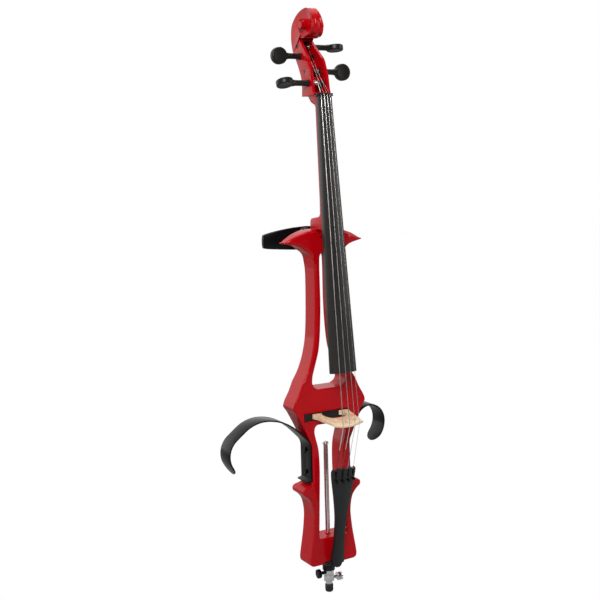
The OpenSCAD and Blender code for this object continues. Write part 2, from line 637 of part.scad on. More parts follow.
module peg(i) {
  w = pegbox_w(peg_z(i));
  head_x = peg_head_x[i];
  color(ebony_black) translate([0, peg_y(i), peg_z(i)]) mirror([peg_side[i] < 0 ? 1 : 0, 0, 0])
    rotate([peg_turn[i], 0, 0]) {
      neck_x = head_x - peg_head_r;
      rotate([0, 90, 0]) rotate_extrude() polygon([[0, -w], [peg_r_end, -w],
        [peg_r_end, -w + cheek_t + shoulder_gap], [peg_r_mid, -w + cheek_t + shoulder_gap],
        [peg_r_mid, w - cheek_t], [peg_r_head, w - cheek_t], [peg_r_head, w + 1.5],
        [peg_r_head + 1.6, w + 2], [peg_r_head + 1.6, w + 4], [peg_r_head, w + 4.5],
        [peg_r_head, neck_x - 7], [peg_r_head + 1.4, neck_x + 2], [0, neck_x + 2]]);
      translate([head_x, 0, 0]) rotate([90, 0, 0]) disc_head();
    }
}
module peg_c() { peg(0); }
module peg_g() { peg(1); }
module peg_d() { peg(2); }
module peg_a() { peg(3); }

// Bridge crown, higher on the C side
function crown_lift(x) = bridge_h - x * x / (2 * bridge_arch_r) - bridge_slope * x;
function bridge_x(i) = (i - 1.5) * bridge_pitch;

// Tailpiece frame: across, depth from its middle, distance from its lower end
tail_y = front_y - 9.8;
tail_z = body_z - 4;
function tail_point(x, v, u) = [x, tail_y + v * cos(tail_tilt) - u * sin(tail_tilt),
  tail_z + u * cos(tail_tilt) + v * sin(tail_tilt)];
module on_tailpiece() { translate([0, tail_y, tail_z]) rotate([tail_tilt, 0, 0]) children(); }
function tail_front(x) = -tail_t / 2 + tail_arch_r - sqrt(tail_arch_r * tail_arch_r - x * x);
function tuner_x(i) = (i - 1.5) * tuner_pitch;
tuner_u = tail_len - 23;
pivot_u = tail_len - 9;
pivot_v = 2.6;
hook_u = tail_len - 3.5;
slot_w = 4.6;
lever_w = 3.6;
axle_r = 1.2;
screw_shank_r = 1.5;

// Where each winding starts, and which way it runs
coil_x = [-3, -2.2, 2.4, 3.5];
function coil_r(i) = peg_r_mid + free_gap + string_r[i];
function coil_pitch(i) = string_gauge[i] + loop_gap;
function coil_start_angle(i, from) = let (dy = from[1] - peg_y(i), dz = from[2] - peg_z(i))
  atan2(dz, dy) - acos(coil_r(i) / norm([dy, dz]));
function coil(i, from) = let (a0 = coil_start_angle(i, from))
  [for (k = [0 : 24 * peg_loops]) let (a = a0 - 15 * k)
    [coil_x[i] + peg_side[i] * coil_pitch(i) * k / 24, peg_y(i) + coil_r(i) * cos(a),
    peg_z(i) + coil_r(i) * sin(a)]];
function string_route(i) = let (
    bottom = tail_point(tuner_x(i), -1, hook_u + free_gap + 0.5),
    on_bridge = [bridge_x(i), front_y - crown_lift(bridge_x(i)) - string_r[i], crown_z0 + bridge_crown_t / 2],
    on_nut = [nut_x(i), nut_y(nut_x(i)), nut_mid_z],
    turns = coil(i, on_nut),
    n = len(turns) - 1)
  concat([bottom, on_bridge, on_nut], turns, [turns[n] + unit(turns[n] - turns[n - 1]) * string_gauge[i]]);
module string(i) {
  color(string_steel) tube(string_route(i), string_r[i], 6);
}
module string_c() { string(0); }
module string_g() { string(1); }
module string_d() { string(2); }
module string_a() { string(3); }
for (i = [0 : 3]) echo(winding = i, least_gap = least_gap(
  [for (k = [3 : 3 + 24 * peg_loops]) string_route(i)[k]], 12, string_gauge[i]));

// Bridge outline in its own plane, as distance from the middle and lift from the body
crown_half_w = 25.2;
bridge_side = smooth([[bridge_foot_half_w - 2, 8], [40, 14], [39, 28], [36.8, 42], [35.2, 58], [34.4, 74]], 3);
bridge_arch = smooth([[-21, 0], [-26, 4], [-27.2, 13], [-25, 24], [-20, 33], [-12.9, 37.6], [0, 38.6],
  [12.9, 37.6], [20, 33], [25, 24], [27.2, 13], [26, 4], [21, 0]], 3);
heart_hole = smooth([[0, 60], [4.5, 65.5], [6, 70], [3.8, 73], [1, 72], [0, 70.5], [-1, 72], [-3.8, 73],
  [-6, 70], [-4.5, 65.5], [0, 60]], 3);
kidney_hole = smooth([[16.5, 54], [20, 51.5], [25, 53.5], [26, 57.5], [22.5, 58.5], [19.5, 56.5],
  [16.5, 54]], 3);
leg_hole = smooth([[32, 17], [34.6, 21], [35, 30], [33.5, 38], [31, 40], [29.3, 36], [29.4, 26], [30, 19],
  [32, 17]], 3);
module bridge() {
  w = bridge_foot_half_w;
  foot_top = bridge_z + bridge_foot_t;
  crown_points = [for (k = [5 : -1 : -5]) let (x = k * crown_half_w / 5) [x, crown_lift(x)]];
  left_side = [for (p = back_to_front(bridge_side)) [-p[0], p[1]]];
  color(maple_pale) difference() {
    intersection() {
      translate([0, front_y, 0]) mirror([0, 1, 0]) xy_slab(crown_z0 - eps, foot_top) difference() {
        polygon(concat([[w, 0], [w, 4]], bridge_side, crown_points, left_side, [[-w, 4], [-w, 0]],
          bridge_arch));
        polygon(heart_hole);
        for (s = [-1, 1], hole = [kidney_hole, leg_hole]) polygon([for (p = hole) [s * p[0], p[1]]]);
      }
      // Both faces lean down towards the strings, the upper one more
      yz_slab(-w - eps, w + eps) polygon([[front_y, bridge_z], [front_y - 4, bridge_z],
        [front_y - bridge_h - 6, crown_z0], [front_y - bridge_h - 6, crown_z0 + bridge_crown_t],
        [front_y - 4, foot_top], [front_y, foot_top]]);
    }
    for (i = [0 : 3]) string_groove(i, 1);
  }
}

module pickup_bar() {
  color(ebony_black) block([pickup_x0, front_y, pickup_z - pickup_w / 2],
    [pickup_x0 + pickup_len, front_y + pickup_depth, pickup_z + pickup_w / 2]);
}

module pickup_element() {
  color("orange") block([-element_half_len, front_y + pickup_depth, pickup_z - element_w / 2],
    [element_half_len, front_y + pickup_depth + element_t, pickup_z + element_w / 2]);
}

module tailpiece() {
  side = smooth([[0, 0], [4.5, 0.4], [7.6, 3.2], [10.5, 9], [13.7, 19], [tail_waist_half_w + 0.9, 46],
    [tail_waist_half_w, 64], [tail_waist_half_w, 84], [12, 108], [14.5, 129], [20, 162],
    [tail_half_w - 4, tail_len - 35], [tail_half_w - 0.7, tail_len - 17], [tail_half_w, tail_len - 4],
    [tail_half_w - 3, tail_len]], 3);
  color(ebony_black) on_tailpiece() difference() {
    intersection() {
      xz_slab(-tail_t, tail_t / 2) polygon(mirrored(side));
      translate([0, tail_arch_r - tail_t / 2, -eps])
        cylinder(h = tail_len + 2 * eps, r = tail_arch_r, $fn = 96);
    }
    for (i = [0 : 3]) {
      x = tuner_x(i);
      block([x - slot_w / 2, -tail_t, pivot_u - 8], [x + slot_w / 2, tail_t, tail_len + eps]);
      translate([x, pivot_v, pivot_u]) rod_x(-4.5 - free_gap, 4.5 + free_gap, axle_r + turn_gap);
      translate([x, 0, tuner_u]) rod_y(-tail_t, tail_t, screw_shank_r + turn_gap);
    }
    // Two holes for the tail gut
    for (x = [-gut_x, gut_x]) translate([x, gut_v, -eps]) cylinder(h = gut_depth + eps, r = gut_d / 2 + 0.1);
  }
}

module tuner_screw(i) {
  x = tuner_x(i);
  head_v = tail_front(abs(x) - tuner_head_r) - free_gap - 0.4;
  color(steel_grey) on_tailpiece() translate([x, 0, tuner_u]) {
    rod_y(head_v - 5, head_v, tuner_head_r);
    rod_y(head_v - 0.01, tail_t / 2 + 1.7, screw_shank_r);
  }
}
module tuner_screw_c() { tuner_screw(0); }
module tuner_screw_g() { tuner_screw(1); }
module tuner_screw_d() { tuner_screw(2); }
module tuner_screw_a() { tuner_screw(3); }

module tuner_lever(i) {
  back = tail_t / 2 + 1.7 + free_gap;
  color(ebony_black) on_tailpiece() translate([tuner_x(i), 0, 0]) {
    yz_slab(-lever_w / 2, lever_w / 2) polygon([[-3.5, hook_u - 7], [-3.5, hook_u], [5, hook_u],
      [back + 2, hook_u - 5], [back + 2, tuner_u - 6], [back, tuner_u - 6], [back, pivot_u - 5],
      [pivot_v, pivot_u - 4.5]]);
    translate([0, pivot_v, pivot_u]) rod_x(-4.5, 4.5, axle_r);
  }
}
module tuner_lever_c() { tuner_lever(0); }
module tuner_lever_g() { tuner_lever(1); }
module tuner_lever_d() { tuner_lever(2); }
module tuner_lever_a() { tuner_lever(3); }

// Tail gut: from the tailpiece round the plug's groove and back
gut_x = 5;
gut_v = 0;
gut_depth = 20;
groove_z = body_z - 7;
groove_r = flange_r - gut_d;
gut_ring_r = groove_r + gut_d / 2 + 0.25;
gut_from = [gut_x + 1, front_y - saddle_rise - gut_d / 2, groove_z + 2.5];
gut_reach = norm([gut_from[0], gut_from[1]]);
gut_a = atan2(gut_from[1], gut_from[0]) + acos(gut_ring_r / gut_reach);
gut_half = concat([tail_point(gut_x, gut_v, gut_depth), tail_point(gut_x, gut_v, 0),
  tail_point(gut_x, gut_v, -1), gut_from],
  [for (k = [0 : 7]) let (a = gut_a + (90 - gut_a) * k / 8)
    [gut_ring_r * cos(a), gut_ring_r * sin(a), groove_z]]);
module tail_gut() {
  color(ebony_black) tube(concat(gut_half, [[0, gut_ring_r, groove_z]],
    [for (p = back_to_front(gut_half)) [-p[0], p[1], p[2]]]), gut_d / 2, 8);
}

module saddle() {
  color(ebony_black) yz_slab(-saddle_half_w, saddle_half_w) polygon([[front_y + 12, body_z + 6],
    [front_y - saddle_rise + 2, body_z + 6], [front_y - saddle_rise, body_z + 4],
    [front_y - saddle_rise, body_z - 0.5], [front_y - saddle_rise + 2.5, body_z - 3],
    [front_y + 9, body_z - 3], [front_y + 9, body_z], [front_y + 12, body_z]]);
}

// Endpin, from the body down
collar_z1 = body_z - flange_h;
collar_z0 = collar_z1 - upper_collar_h;
lower_z = collar_z0 - lower_collar_h;
upper_collar_r = 11.2;
lower_collar_r = 11;
ferrule_r = 7;
foot_r = 8.7;
thumb_r = 2.5;
thumb_stem_r = 3.6;
left_thumb_z = (collar_z0 + collar_z1) / 2;
right_thumb_z = lower_z + 4.5;
module endpin_plug() {
  color(ebony_black) difference() {
    union() {
      translate([0, 0, collar_z1]) cylinder(h = flange_h, r = flange_r);
      translate([0, 0, body_z]) cylinder(h = plug_len, r = plug_r);
    }
    translate([0, 0, collar_z1 - eps]) cylinder(h = flange_h + plug_len + 2 * eps, r = tube_r + turn_gap);
    rotate_extrude() translate([groove_r, groove_z - gut_d / 2 - 0.6]) square([gut_d + eps, gut_d + 1.2]);
  }
}

module collar(z0, h, r, side, thumb_z) {
  difference() {
    translate([0, 0, z0]) cylinder(h = h, r = r);
    translate([0, 0, z0 - eps]) cylinder(h = h + 2 * eps, r = tube_r + turn_gap);
    translate([0, 0, thumb_z]) rotate([0, 90 * side, 0]) cylinder(h = r + eps, r = thumb_r + turn_gap);
  }
}
module upper_collar() {
  color(steel_grey) collar(collar_z0, upper_collar_h, upper_collar_r, -1, left_thumb_z);
}

// The lower collar is fixed on the tube's end, and its screw reaches the inner rod
module lower_collar() {
  color(steel_grey) collar(lower_z + free_gap, lower_collar_h - 2 * free_gap, lower_collar_r, 1, right_thumb_z);
}
module endpin_tube() {
  color(steel_grey) difference() {
    translate([0, 0, lower_z + free_gap]) cylinder(h = tube_top - lower_z - free_gap, r = tube_r);
    translate([0, 0, lower_z - eps]) cylinder(h = tube_top - lower_z + 2 * eps, r = rod_r + turn_gap);
    translate([0, 0, right_thumb_z]) rod_x(0, 10, thumb_r + turn_gap);
  }
}
module tube_cap() {
  color(steel_grey) translate([0, 0, tube_top]) rotate_extrude()
    polygon([[0, 0], [6.8, 0], [6.8, 1.4], [5.6, 1.4], [5.6, 2.6], [6.4, 2.6], [6.4, 4.2], [4, 5.8], [0, 5.8]]);
}
module endpin_rod() {
  color(steel_grey) {
    translate([0, 0, foot_h]) cylinder(h = ferrule_h - free_gap, r = ferrule_r);
    translate([0, 0, foot_h - 9]) cylinder(h = 9 + ferrule_h + rod_len, r = rod_r);
  }
}
module rubber_foot() {
  color(ebony_black) difference() {
    rotate_extrude() polygon(concat([[0, 0], [4, 0]], arc(foot_r - 4.7, 4.7, 4.7, -90, 0, 6),
      [[foot_r, foot_h - 1], [foot_r - 1, foot_h], [0, foot_h]]));
    translate([0, 0, foot_h - 9]) cylinder(h = 9 + eps, r = rod_r);
  }
}

// Thumbscrew with a thin notched disc, a stem outside the collar and a tip inside it
module thumbscrew(i, stem_x, tip_x) {
  x0 = thumb_disc_x[i];
  x1 = x0 + thumb_disc_t[i];
  r = thumb_disc_r[i];
  difference() {
    union() {
      rod_x(tip_x, x0 + 0.01, thumb_r);
      rod_x(x0, x1, r);
      rod_x(stem_x, x0 + 0.01, thumb_stem_r);
    }
    for (a = [0 : 60 : 300]) rotate([a, 0, 0]) translate([0, r + 0.6, 0]) rod_x(x0 - eps, x1 + eps, 1.2);
  }
}
module thumbscrew_left() {
  color(ebony_black) translate([0, 0, left_thumb_z]) mirror([1, 0, 0])
    thumbscrew(0, upper_collar_r + free_gap, tube_r + free_gap);
}
module thumbscrew_right() {
  color(steel_grey) translate([0, 0, right_thumb_z])
    thumbscrew(1, lower_collar_r + free_gap, rod_r + free_gap);
}

// Leg rest bands: a walk of [radius, turn], or [0, length] where straight, turning outward
left_walk = [[0, 67], [30, 45], [0, 23], [140, 15], [115, 26], [79, 41], [0, 23.5], [43, 83.5], [0, 21.5]];
right_walk = [[0, 67], [28, 26], [0, 48], [36, 64], [39, 90], [50, 45], [0, 15]];
function step_end(s, w) = w[0] == 0 ? [s[0] - w[1] * sin(s[2]), s[1] + w[1] * cos(s[2]), s[2]] :
  [s[0] - w[0] * (cos(s[2]) - cos(s[2] + w[1])), s[1] + w[0] * (sin(s[2] + w[1]) - sin(s[2])), s[2] + w[1]];
function walk_states(s, walk, i) = i >= len(walk) ? [] : let (
    w = walk[i], n = w[0] == 0 ? 1 : ceil(w[1] / 6),
    steps = [for (k = [1 : n]) step_end(s, [w[0], w[1] * k / n])])
  concat(steps, walk_states(steps[n - 1], walk, i + 1));
function band_states(walk) = let (start = [-flank_half_w, plate_z + 3, 0])
  concat([start], walk_states(start, walk, 0));
function band_outline(states) = concat([for (s = states) [s[0], s[1]]],
  [for (s = back_to_front(states)) [s[0] - band_t * cos(s[2]), s[1] - band_t * sin(s[2])]]);
band_y0 = front_y + 4;
flange_len = 9;
module leg_rest(walk) {
  states = band_states(walk);
  tip = states[len(states) - 1];
  difference() {
    union() {
      xz_slab(band_y0, band_y0 + band_w) polygon(band_outline(states));
      // Lip bent outward under the plate
      xz_slab(band_y0, band_y0 + band_w) translate([-flank_half_w, plate_z]) polygon([[0, 5], [0, 1.5],
        [-1.5, 0], [-band_t - flange_len, -1.5], [-band_t - flange_len, band_t - 1.5],
        [-band_t - 1.5, band_t], [-band_t, band_t + 1.5], [-band_t, 5]]);
    }
    // Round end
    translate([tip[0], band_y0 + band_w / 2, tip[1]]) rotate([0, -tip[2], 0])
      translate([-20, 0, -band_w / 2]) rotate([0, 90, 0]) linear_extrude(40) difference() {
        translate([-band_w / 2 - 30, -band_w / 2 - 1]) square([band_w / 2 + 30, band_w + 2]);
        circle(r = band_w / 2, $fn = 64);
      }
    // Keyholes for the two screws
    for (z = screw_heights) translate([0, screw_y, z]) {
      rod_x(-flank_half_w - 12, -flank_half_w + eps, leg_screw_r + free_gap);
      block([-flank_half_w - 12, -leg_screw_r - free_gap, -9],
        [-flank_half_w + eps, leg_screw_r + free_gap, 0]);
    }
  }
}
module leg_rest_left() { color(ebony_black) leg_rest(left_walk); }
module leg_rest_right() { color(ebony_black) mirror([1, 0, 0]) leg_rest(right_walk); }

module leg_rest_screws() {
  color(ebony_black) for (side = [0, 1], z = screw_heights) mirror([side, 0, 0])
    translate([flank_half_w, screw_y, z]) difference() {
      union() {
        rod_x(band_t, band_t + 3, leg_screw_r + 2.1);
        rod_x(-insert_len + 1, band_t + 0.01, leg_screw_r);
      }
      translate([band_t + 1, 0, 0]) rotate([0, 90, 0]) cylinder(h = 3, r = 1.7, $fn = 6);
    }
}
module leg_rest_inserts() {
  color("goldenrod") for (side = [0, 1], z = screw_heights) mirror([side, 0, 0])
    translate([flank_half_w - insert_len, screw_y, z]) difference() {
      rod_x(0, insert_len, insert_r);
      rod_x(1, insert_len + eps, leg_screw_r);
    }
}

// Chest rest: curved plate on a slotted foot, clamped by the two knobs on the bracket
chest_y = back_y + chest_gap;
chest_z1 = top_z + 4;
chest_profile = mirrored(smooth([[0, chest_z1 - chest_h], [70, chest_z1 - chest_h + 4],
  [chest_half_w - 2, chest_z1 - chest_h + 6.5], [chest_half_w, chest_z1 - chest_h + 8.5],
  [chest_half_w, chest_z1 - 18], [chest_half_w - 1.5, chest_z1 - 16], [70, chest_z1 - 8.6],
  [35, chest_z1 - 2.4], [0, chest_z1]], 3));
module chest_layer(y0, t) {
  intersection() {
    difference() {
      translate([0, chest_y + chest_r, chest_z1 - chest_h - 5])
        cylinder(h = chest_h + 10, r = chest_r - y0, $fn = 128);
      translate([0, chest_y + chest_r, chest_z1 - chest_h - 6])
        cylinder(h = chest_h + 12, r = chest_r - y0 - t, $fn = 128);
    }
    xz_slab(chest_y - 5, chest_y + 60) polygon(chest_profile);
  }
}
tongue_z = top_z - bracket_drop;
foot_z = tongue_z + free_gap;
slide_out = 6;
slide_in = 4;
module chest_rest() { color(ebony_black) chest_layer(0, chest_t); }

// Foot of the chest rest, with two slots open towards the body
module chest_foot() {
  slot_half_w = stud_r + free_gap;
  slot_end = stud_y + slide_in + stud_r + 4;
  color(ebony_black) difference() {
    block([-bracket_half_w, back_y + slide_in + 0.5, foot_z],
      [bracket_half_w, chest_y + 3, foot_z + bracket_t]);
    translate([0, chest_y + chest_r, foot_z - eps]) cylinder(h = bracket_t + 2 * eps, r = chest_r, $fn = 128);
    for (x = [-stud_x, stud_x])
      block([x - slot_half_w, back_y, foot_z - eps],
        [x + slot_half_w, slot_end, foot_z + bracket_t + eps]);
  }
}
module chest_pad() { color([0.15, 0.15, 0.16]) chest_layer(chest_t, pad_t); }
module chest_bracket() {
  color(ebony_black) difference() {
    union() {
      block([-bracket_half_w, back_y, top_z - bracket_h], [bracket_half_w, back_y + bracket_t, tongue_z]);
      block([-bracket_half_w, back_y, tongue_z - bracket_t], [bracket_half_w, stud_y + 8, tongue_z]);
    }
    for (x = [-stud_x, stud_x]) translate([x, stud_y, tongue_z - bracket_t - eps])
      cylinder(h = bracket_t + 2 * eps, r = stud_r + turn_gap);
    for (z = bracket_screw_z) translate([0, 0, z])
      rod_y(back_y - eps, back_y + bracket_t + eps, bracket_screw_r);
  }
}
module bracket_screws() {
  color(steel_grey) for (z = bracket_screw_z) translate([0, 0, z]) {
    rod_y(back_y - bracket_screw_len + 1, back_y + bracket_t + 0.01, bracket_screw_r);
    rod_y(back_y + bracket_t, back_y + bracket_t + 2, bracket_screw_r + 1.8);
  }
}
knob_z = foot_z + bracket_t + free_gap;
module chest_knob(x) {
  color(ebony_black) translate([x, stud_y, 0]) {
    translate([0, 0, knob_z]) cylinder(h = 1.6, r = chest_knob_r);
    translate([0, 0, knob_z + 1.6]) cylinder(h = 4, r = chest_knob_r - 1.5);
    translate([0, 0, tongue_z - 8]) cylinder(h = knob_z - tongue_z + 8.01, r = stud_r);
  }
}
module chest_knob_left() { chest_knob(-stud_x); }
module chest_knob_right() { chest_knob(stud_x); }

// Back panel with its controls
knob_places = [-40, -13];
knob_z_place = pocket_z1 - 20;
bushing_r = 3.5;
shaft_r = 3;
switch_place = [-26.5, pocket_z0 + 8];
box_x0 = 16;
box_x1 = 48;
box_z0 = panel_z0 + 4;
box_z1 = panel_z0 + panel_h - 4;
box_depth = 24;
wall = 1.8;
hinge_z = box_z0 + 3;
hinge_y = back_y - 1.3;
hinge_r = 1;
module back_panel() {
  color(ebony_black) difference() {
    block([-panel_half_w, panel_y, panel_z0], [panel_half_w, back_y, panel_z0 + panel_h]);
    block([box_x0, panel_y - eps, box_z0], [box_x1, back_y + eps, box_z1]);
    for (x = knob_places) translate([x, 0, knob_z_place]) rod_y(panel_y - eps, back_y + eps, bushing_r);
    block([switch_place[0] - 5, panel_y - eps, switch_place[1] - 1.8],
      [switch_place[0] + 5, back_y + eps, switch_place[1] + 1.8]);
    for (p = panel_screw_places) translate([p[0], 0, p[1]]) rod_y(panel_y - eps, back_y + eps, panel_screw_r);
  }
}
module panel_screws() {
  color(steel_grey) for (p = panel_screw_places) translate([p[0], 0, p[1]]) {
    rod_y(back_y - panel_screw_len + 1, back_y + 0.01, panel_screw_r);
    rod_y(back_y, back_y + 1.2, panel_screw_r + 1.3);
  }
}
module preamp_board() {
  color("darkgreen") {
    block(board_lo, board_hi);
    block([-30, board_hi[1] - 0.01, board_lo[2] + 20], [-16, board_hi[1] + 3, board_lo[2] + 30]);
    block([-8, board_hi[1] - 0.01, board_lo[2] + 20], [2, board_hi[1] + 3, board_lo[2] + 28]);
  }
}
module controls() {
  color(steel_grey) for (x = knob_places) translate([x, 0, knob_z_place]) difference() {
    union() {
      rod_y(panel_y - 8, panel_y, 8);
      rod_y(panel_y - 0.01, back_y + 3, bushing_r);
    }
    rod_y(panel_y - 6, back_y + 3 + eps, shaft_r + turn_gap);
  }
}
module control_knob(x) {
  color(ebony_black) translate([x, 0, knob_z_place]) difference() {
    union() {
      rod_y(back_y + free_gap, back_y + 10, knob_r);
      rod_y(panel_y - 5.7, back_y + 10, shaft_r);
    }
    difference() {
      rod_y(back_y, back_y + 3 + free_gap, bushing_r + 0.6);
      rod_y(back_y - eps, back_y + 4, shaft_r);
    }
    translate([0, 0, knob_r - 3]) block([-0.6, back_y + 9.2, 0], [0.6, back_y + 11, 4]);
  }
}
module volume_knob() { control_knob(knob_places[0]); }
module tone_knob() { control_knob(knob_places[1]); }
module switch_housing() {
  color(steel_grey) translate([switch_place[0], 0, switch_place[1]]) difference() {
    block([-8, panel_y - 6, -3.5], [8, panel_y, 3.5]);
    block([-5.5, panel_y - 4, -2.2], [5.5, panel_y + eps, 2.2]);
  }
}
module switch_slider() {
  color(ebony_black) translate([switch_place[0], 0, switch_place[1]]) {
    block([-3, panel_y - 4 + free_gap, -1.9], [0, panel_y - 0.3, 1.9]);
    block([-2.8, panel_y - 0.31, -1.4], [-0.2, back_y + 1.5, 1.4]);
  }
}
module battery_box() {
  color(ebony_black) difference() {
    block([box_x0, back_y - box_depth, box_z0], [box_x1, back_y, box_z1]);
    block([box_x0 + wall, back_y - box_depth + wall, box_z0 + wall],
      [box_x1 - wall, back_y + eps, box_z1 - wall]);
    translate([0, hinge_y, hinge_z]) rod_x(box_x0 - eps, box_x1 + eps, hinge_r + turn_gap);
  }
}
module battery() {
  lo = [(box_x0 + box_x1) / 2 - 13.2, back_y - box_depth + wall, box_z0 + wall + 1.5];
  color("gray") block(lo, lo + [26.4, 17.5, 46]);
}
module battery_door() {
  color([0.12, 0.12, 0.12]) translate([0, hinge_y, hinge_z]) {
    block([box_x0 + wall + free_gap, -1, 0],
      [box_x1 - wall - free_gap, 1.2, box_z1 - wall - free_gap - hinge_z]);
    rod_x(box_x0 + wall + free_gap, box_x1 - wall - free_gap, 1.15);
    rod_x(box_x0 + 0.2, box_x1 - 0.2, hinge_r);
  }
}

module output_jack() {
  color(steel_grey) translate([jack_x, jack_y, lower_z1]) difference() {
    union() {
      cylinder(h = jack_len + 2, r = jack_body_r);
      translate([0, 0, -jack_flange_t]) cylinder(h = jack_flange_t, r = jack_flange_r);
    }
    translate([0, 0, -jack_flange_t - eps]) cylinder(h = jack_len + eps, r = jack_r);
  }
}
module headphone_jack() {
  color(steel_grey) translate([0, mini_y, mini_z]) difference() {
    union() {
      rod_x(mini_x - 1, mini_x + mini_len, mini_body_r);
      rod_x(mini_x - 1.6, mini_x - 0.2, mini_body_r + 1.4);
    }
    rod_x(mini_x - 3, mini_x + mini_len - 1.5, mini_jack_r);
  }
}
module leads() {
  color("dimgray") {
    tube([[0, front_y + pickup_depth + element_t, pickup_z], [0, pocket_y, pickup_z],
      [0, board_lo[1], pickup_z]], lead_r, 8);
    tube([[jack_x, board_hi[1], lower_z1 + 26], [jack_x, jack_y - jack_body_r, lower_z1 + 26]], lead_r, 8);
    tube([[board_hi[0] + 0.2, board_lo[1] + 0.8, board_lo[2] + 3], [board_hi[0] + 6, lead_y, board_lo[2] + 2],
      channel_top + [-6, 0, 5], channel_top + [-1.6, 0, 3.6], channel_top, channel_end], lead_r, 8);
  }
}

body_frame();
neck();
nut();
fingerboard();
peg_c();
peg_g();
peg_d();
peg_a();
string_c();
string_g();
string_d();
string_a();
bridge();
pickup_bar();
pickup_element();
tailpiece();
tuner_screw_c();
tuner_screw_g();
tuner_screw_d();
tuner_screw_a();
tuner_lever_c();
tuner_lever_g();
tuner_lever_d();
tuner_lever_a();
tail_gut();
saddle();
endpin_plug();
upper_collar();
lower_collar();
endpin_tube();
tube_cap();
endpin_rod();
rubber_foot();
thumbscrew_left();
thumbscrew_right();
leg_rest_left();
leg_rest_right();
leg_rest_screws();
leg_rest_inserts();
chest_rest();
chest_foot();
chest_pad();
chest_bracket();
bracket_screws();
chest_knob_left();
chest_knob_right();
back_panel();
panel_screws();
preamp_board();
controls();
volume_knob();
tone_knob();
switch_housing();
switch_slider();
battery_box();
battery();
battery_door();
output_jack();
headphone_jack();
leads();
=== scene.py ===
import json
import math

import bmesh
import bpy
from mathutils import Matrix, Vector

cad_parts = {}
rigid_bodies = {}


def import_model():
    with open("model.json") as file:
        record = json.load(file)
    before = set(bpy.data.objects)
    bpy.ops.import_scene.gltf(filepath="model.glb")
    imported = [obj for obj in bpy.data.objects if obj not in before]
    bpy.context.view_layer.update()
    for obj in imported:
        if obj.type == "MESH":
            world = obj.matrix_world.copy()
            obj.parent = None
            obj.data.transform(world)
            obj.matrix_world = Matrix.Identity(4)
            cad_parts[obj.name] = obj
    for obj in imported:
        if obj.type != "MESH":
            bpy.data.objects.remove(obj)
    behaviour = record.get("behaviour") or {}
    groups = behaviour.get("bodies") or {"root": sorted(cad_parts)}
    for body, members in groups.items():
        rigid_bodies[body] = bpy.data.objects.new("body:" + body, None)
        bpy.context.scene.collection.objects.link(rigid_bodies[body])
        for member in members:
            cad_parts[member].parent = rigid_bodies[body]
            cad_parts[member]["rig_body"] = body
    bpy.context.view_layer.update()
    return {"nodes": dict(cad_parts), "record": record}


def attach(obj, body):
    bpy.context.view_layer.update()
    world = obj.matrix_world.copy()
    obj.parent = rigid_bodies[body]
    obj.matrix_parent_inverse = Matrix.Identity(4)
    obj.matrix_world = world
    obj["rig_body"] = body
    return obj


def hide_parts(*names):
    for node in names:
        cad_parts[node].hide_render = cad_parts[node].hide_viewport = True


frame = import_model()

nodes = frame["nodes"]
MM = 0.001


# Shader maths written as plain expressions

class Value:
    """A socket's value, which can be added, multiplied and so on."""

    def __init__(self, finish, socket):
        self.finish = finish
        self.socket = socket

    def math(self, operation, *others):
        return self.finish.node("ShaderNodeMath", {"operation": operation}, [self, *others])

    def __add__(self, other):
        return self.math("ADD", other)

    def __radd__(self, other):
        return self.math("ADD", other)

    def __mul__(self, other):
        return self.math("MULTIPLY", other)

    def __rmul__(self, other):
        return self.math("MULTIPLY", other)

    def __sub__(self, other):
        return self.math("SUBTRACT", other)

    def __rsub__(self, other):
        return self.finish.node("ShaderNodeMath", {"operation": "SUBTRACT"}, [other, self])

    def over(self, edge, softness):
        """0 below the edge, 1 above it, with a soft step between."""
        return self.finish.node("ShaderNodeMapRange", {"interpolation_type": "SMOOTHSTEP"},
                                {0: self, 1: edge - softness, 2: edge + softness, 3: 0.0, 4: 1.0})


class Finish:
    """A material built round its main shader."""

    def __init__(self, name, colour, roughness, metallic=0.0, coat=0.0, coat_roughness=0.03):
        self.material = bpy.data.materials.new(name)
        self.material.use_nodes = True
        self.tree = self.material.node_tree
        self.main = self.tree.nodes["Principled BSDF"]
        self.put("Base Color", (*colour, 1.0))
        self.put("Roughness", roughness)
        self.put("Metallic", metallic)
        self.put("Coat Weight", coat)
        self.put("Coat Roughness", coat_roughness)

    def node(self, kind, settings=None, inputs=(), out=0):
        made = self.tree.nodes.new(kind)
        for key, value in (settings or {}).items():
            setattr(made, key, value)
        pairs = inputs.items() if isinstance(inputs, dict) else enumerate(inputs)
        for key, value in pairs:
            if isinstance(value, Value):
                self.tree.links.new(value.socket, made.inputs[key])
            else:
                made.inputs[key].default_value = value
        return Value(self, made.outputs[out])

    def put(self, socket, value):
        if isinstance(value, Value):
            self.tree.links.new(value.socket, self.main.inputs[socket])
        else:
            self.main.inputs[socket].default_value = value

    def place(self, stretch=(1, 1, 1)):
        spot = self.node("ShaderNodeTexCoord", out="Object")
        return self.node("ShaderNodeMapping", None, {"Vector": spot, "Scale": stretch})

    def height(self):
        spot = self.node("ShaderNodeTexCoord", out="Object")
        return self.node("ShaderNodeSeparateXYZ", None, [spot], out=2)

    def noise(self, scale, detail=3.0, stretch=(1, 1, 1), distortion=0.0):
        return self.node("ShaderNodeTexNoise", None, {"Vector": self.place(stretch), "Scale": scale,
                                                      "Detail": detail, "Distortion": distortion})

    def blend(self, factor, dark, light):
        def colour(c):
            return c if isinstance(c, Value) else (*c, 1.0)
        return self.node("ShaderNodeMix", {"data_type": "RGBA"},
                         {0: factor, 6: colour(dark), 7: colour(light)}, out=2)

    def relief(self, pattern, depth, strength=1.0):
        self.put("Normal", self.node("ShaderNodeBump", None,
                                     {"Height": pattern, "Distance": depth, "Strength": strength}))


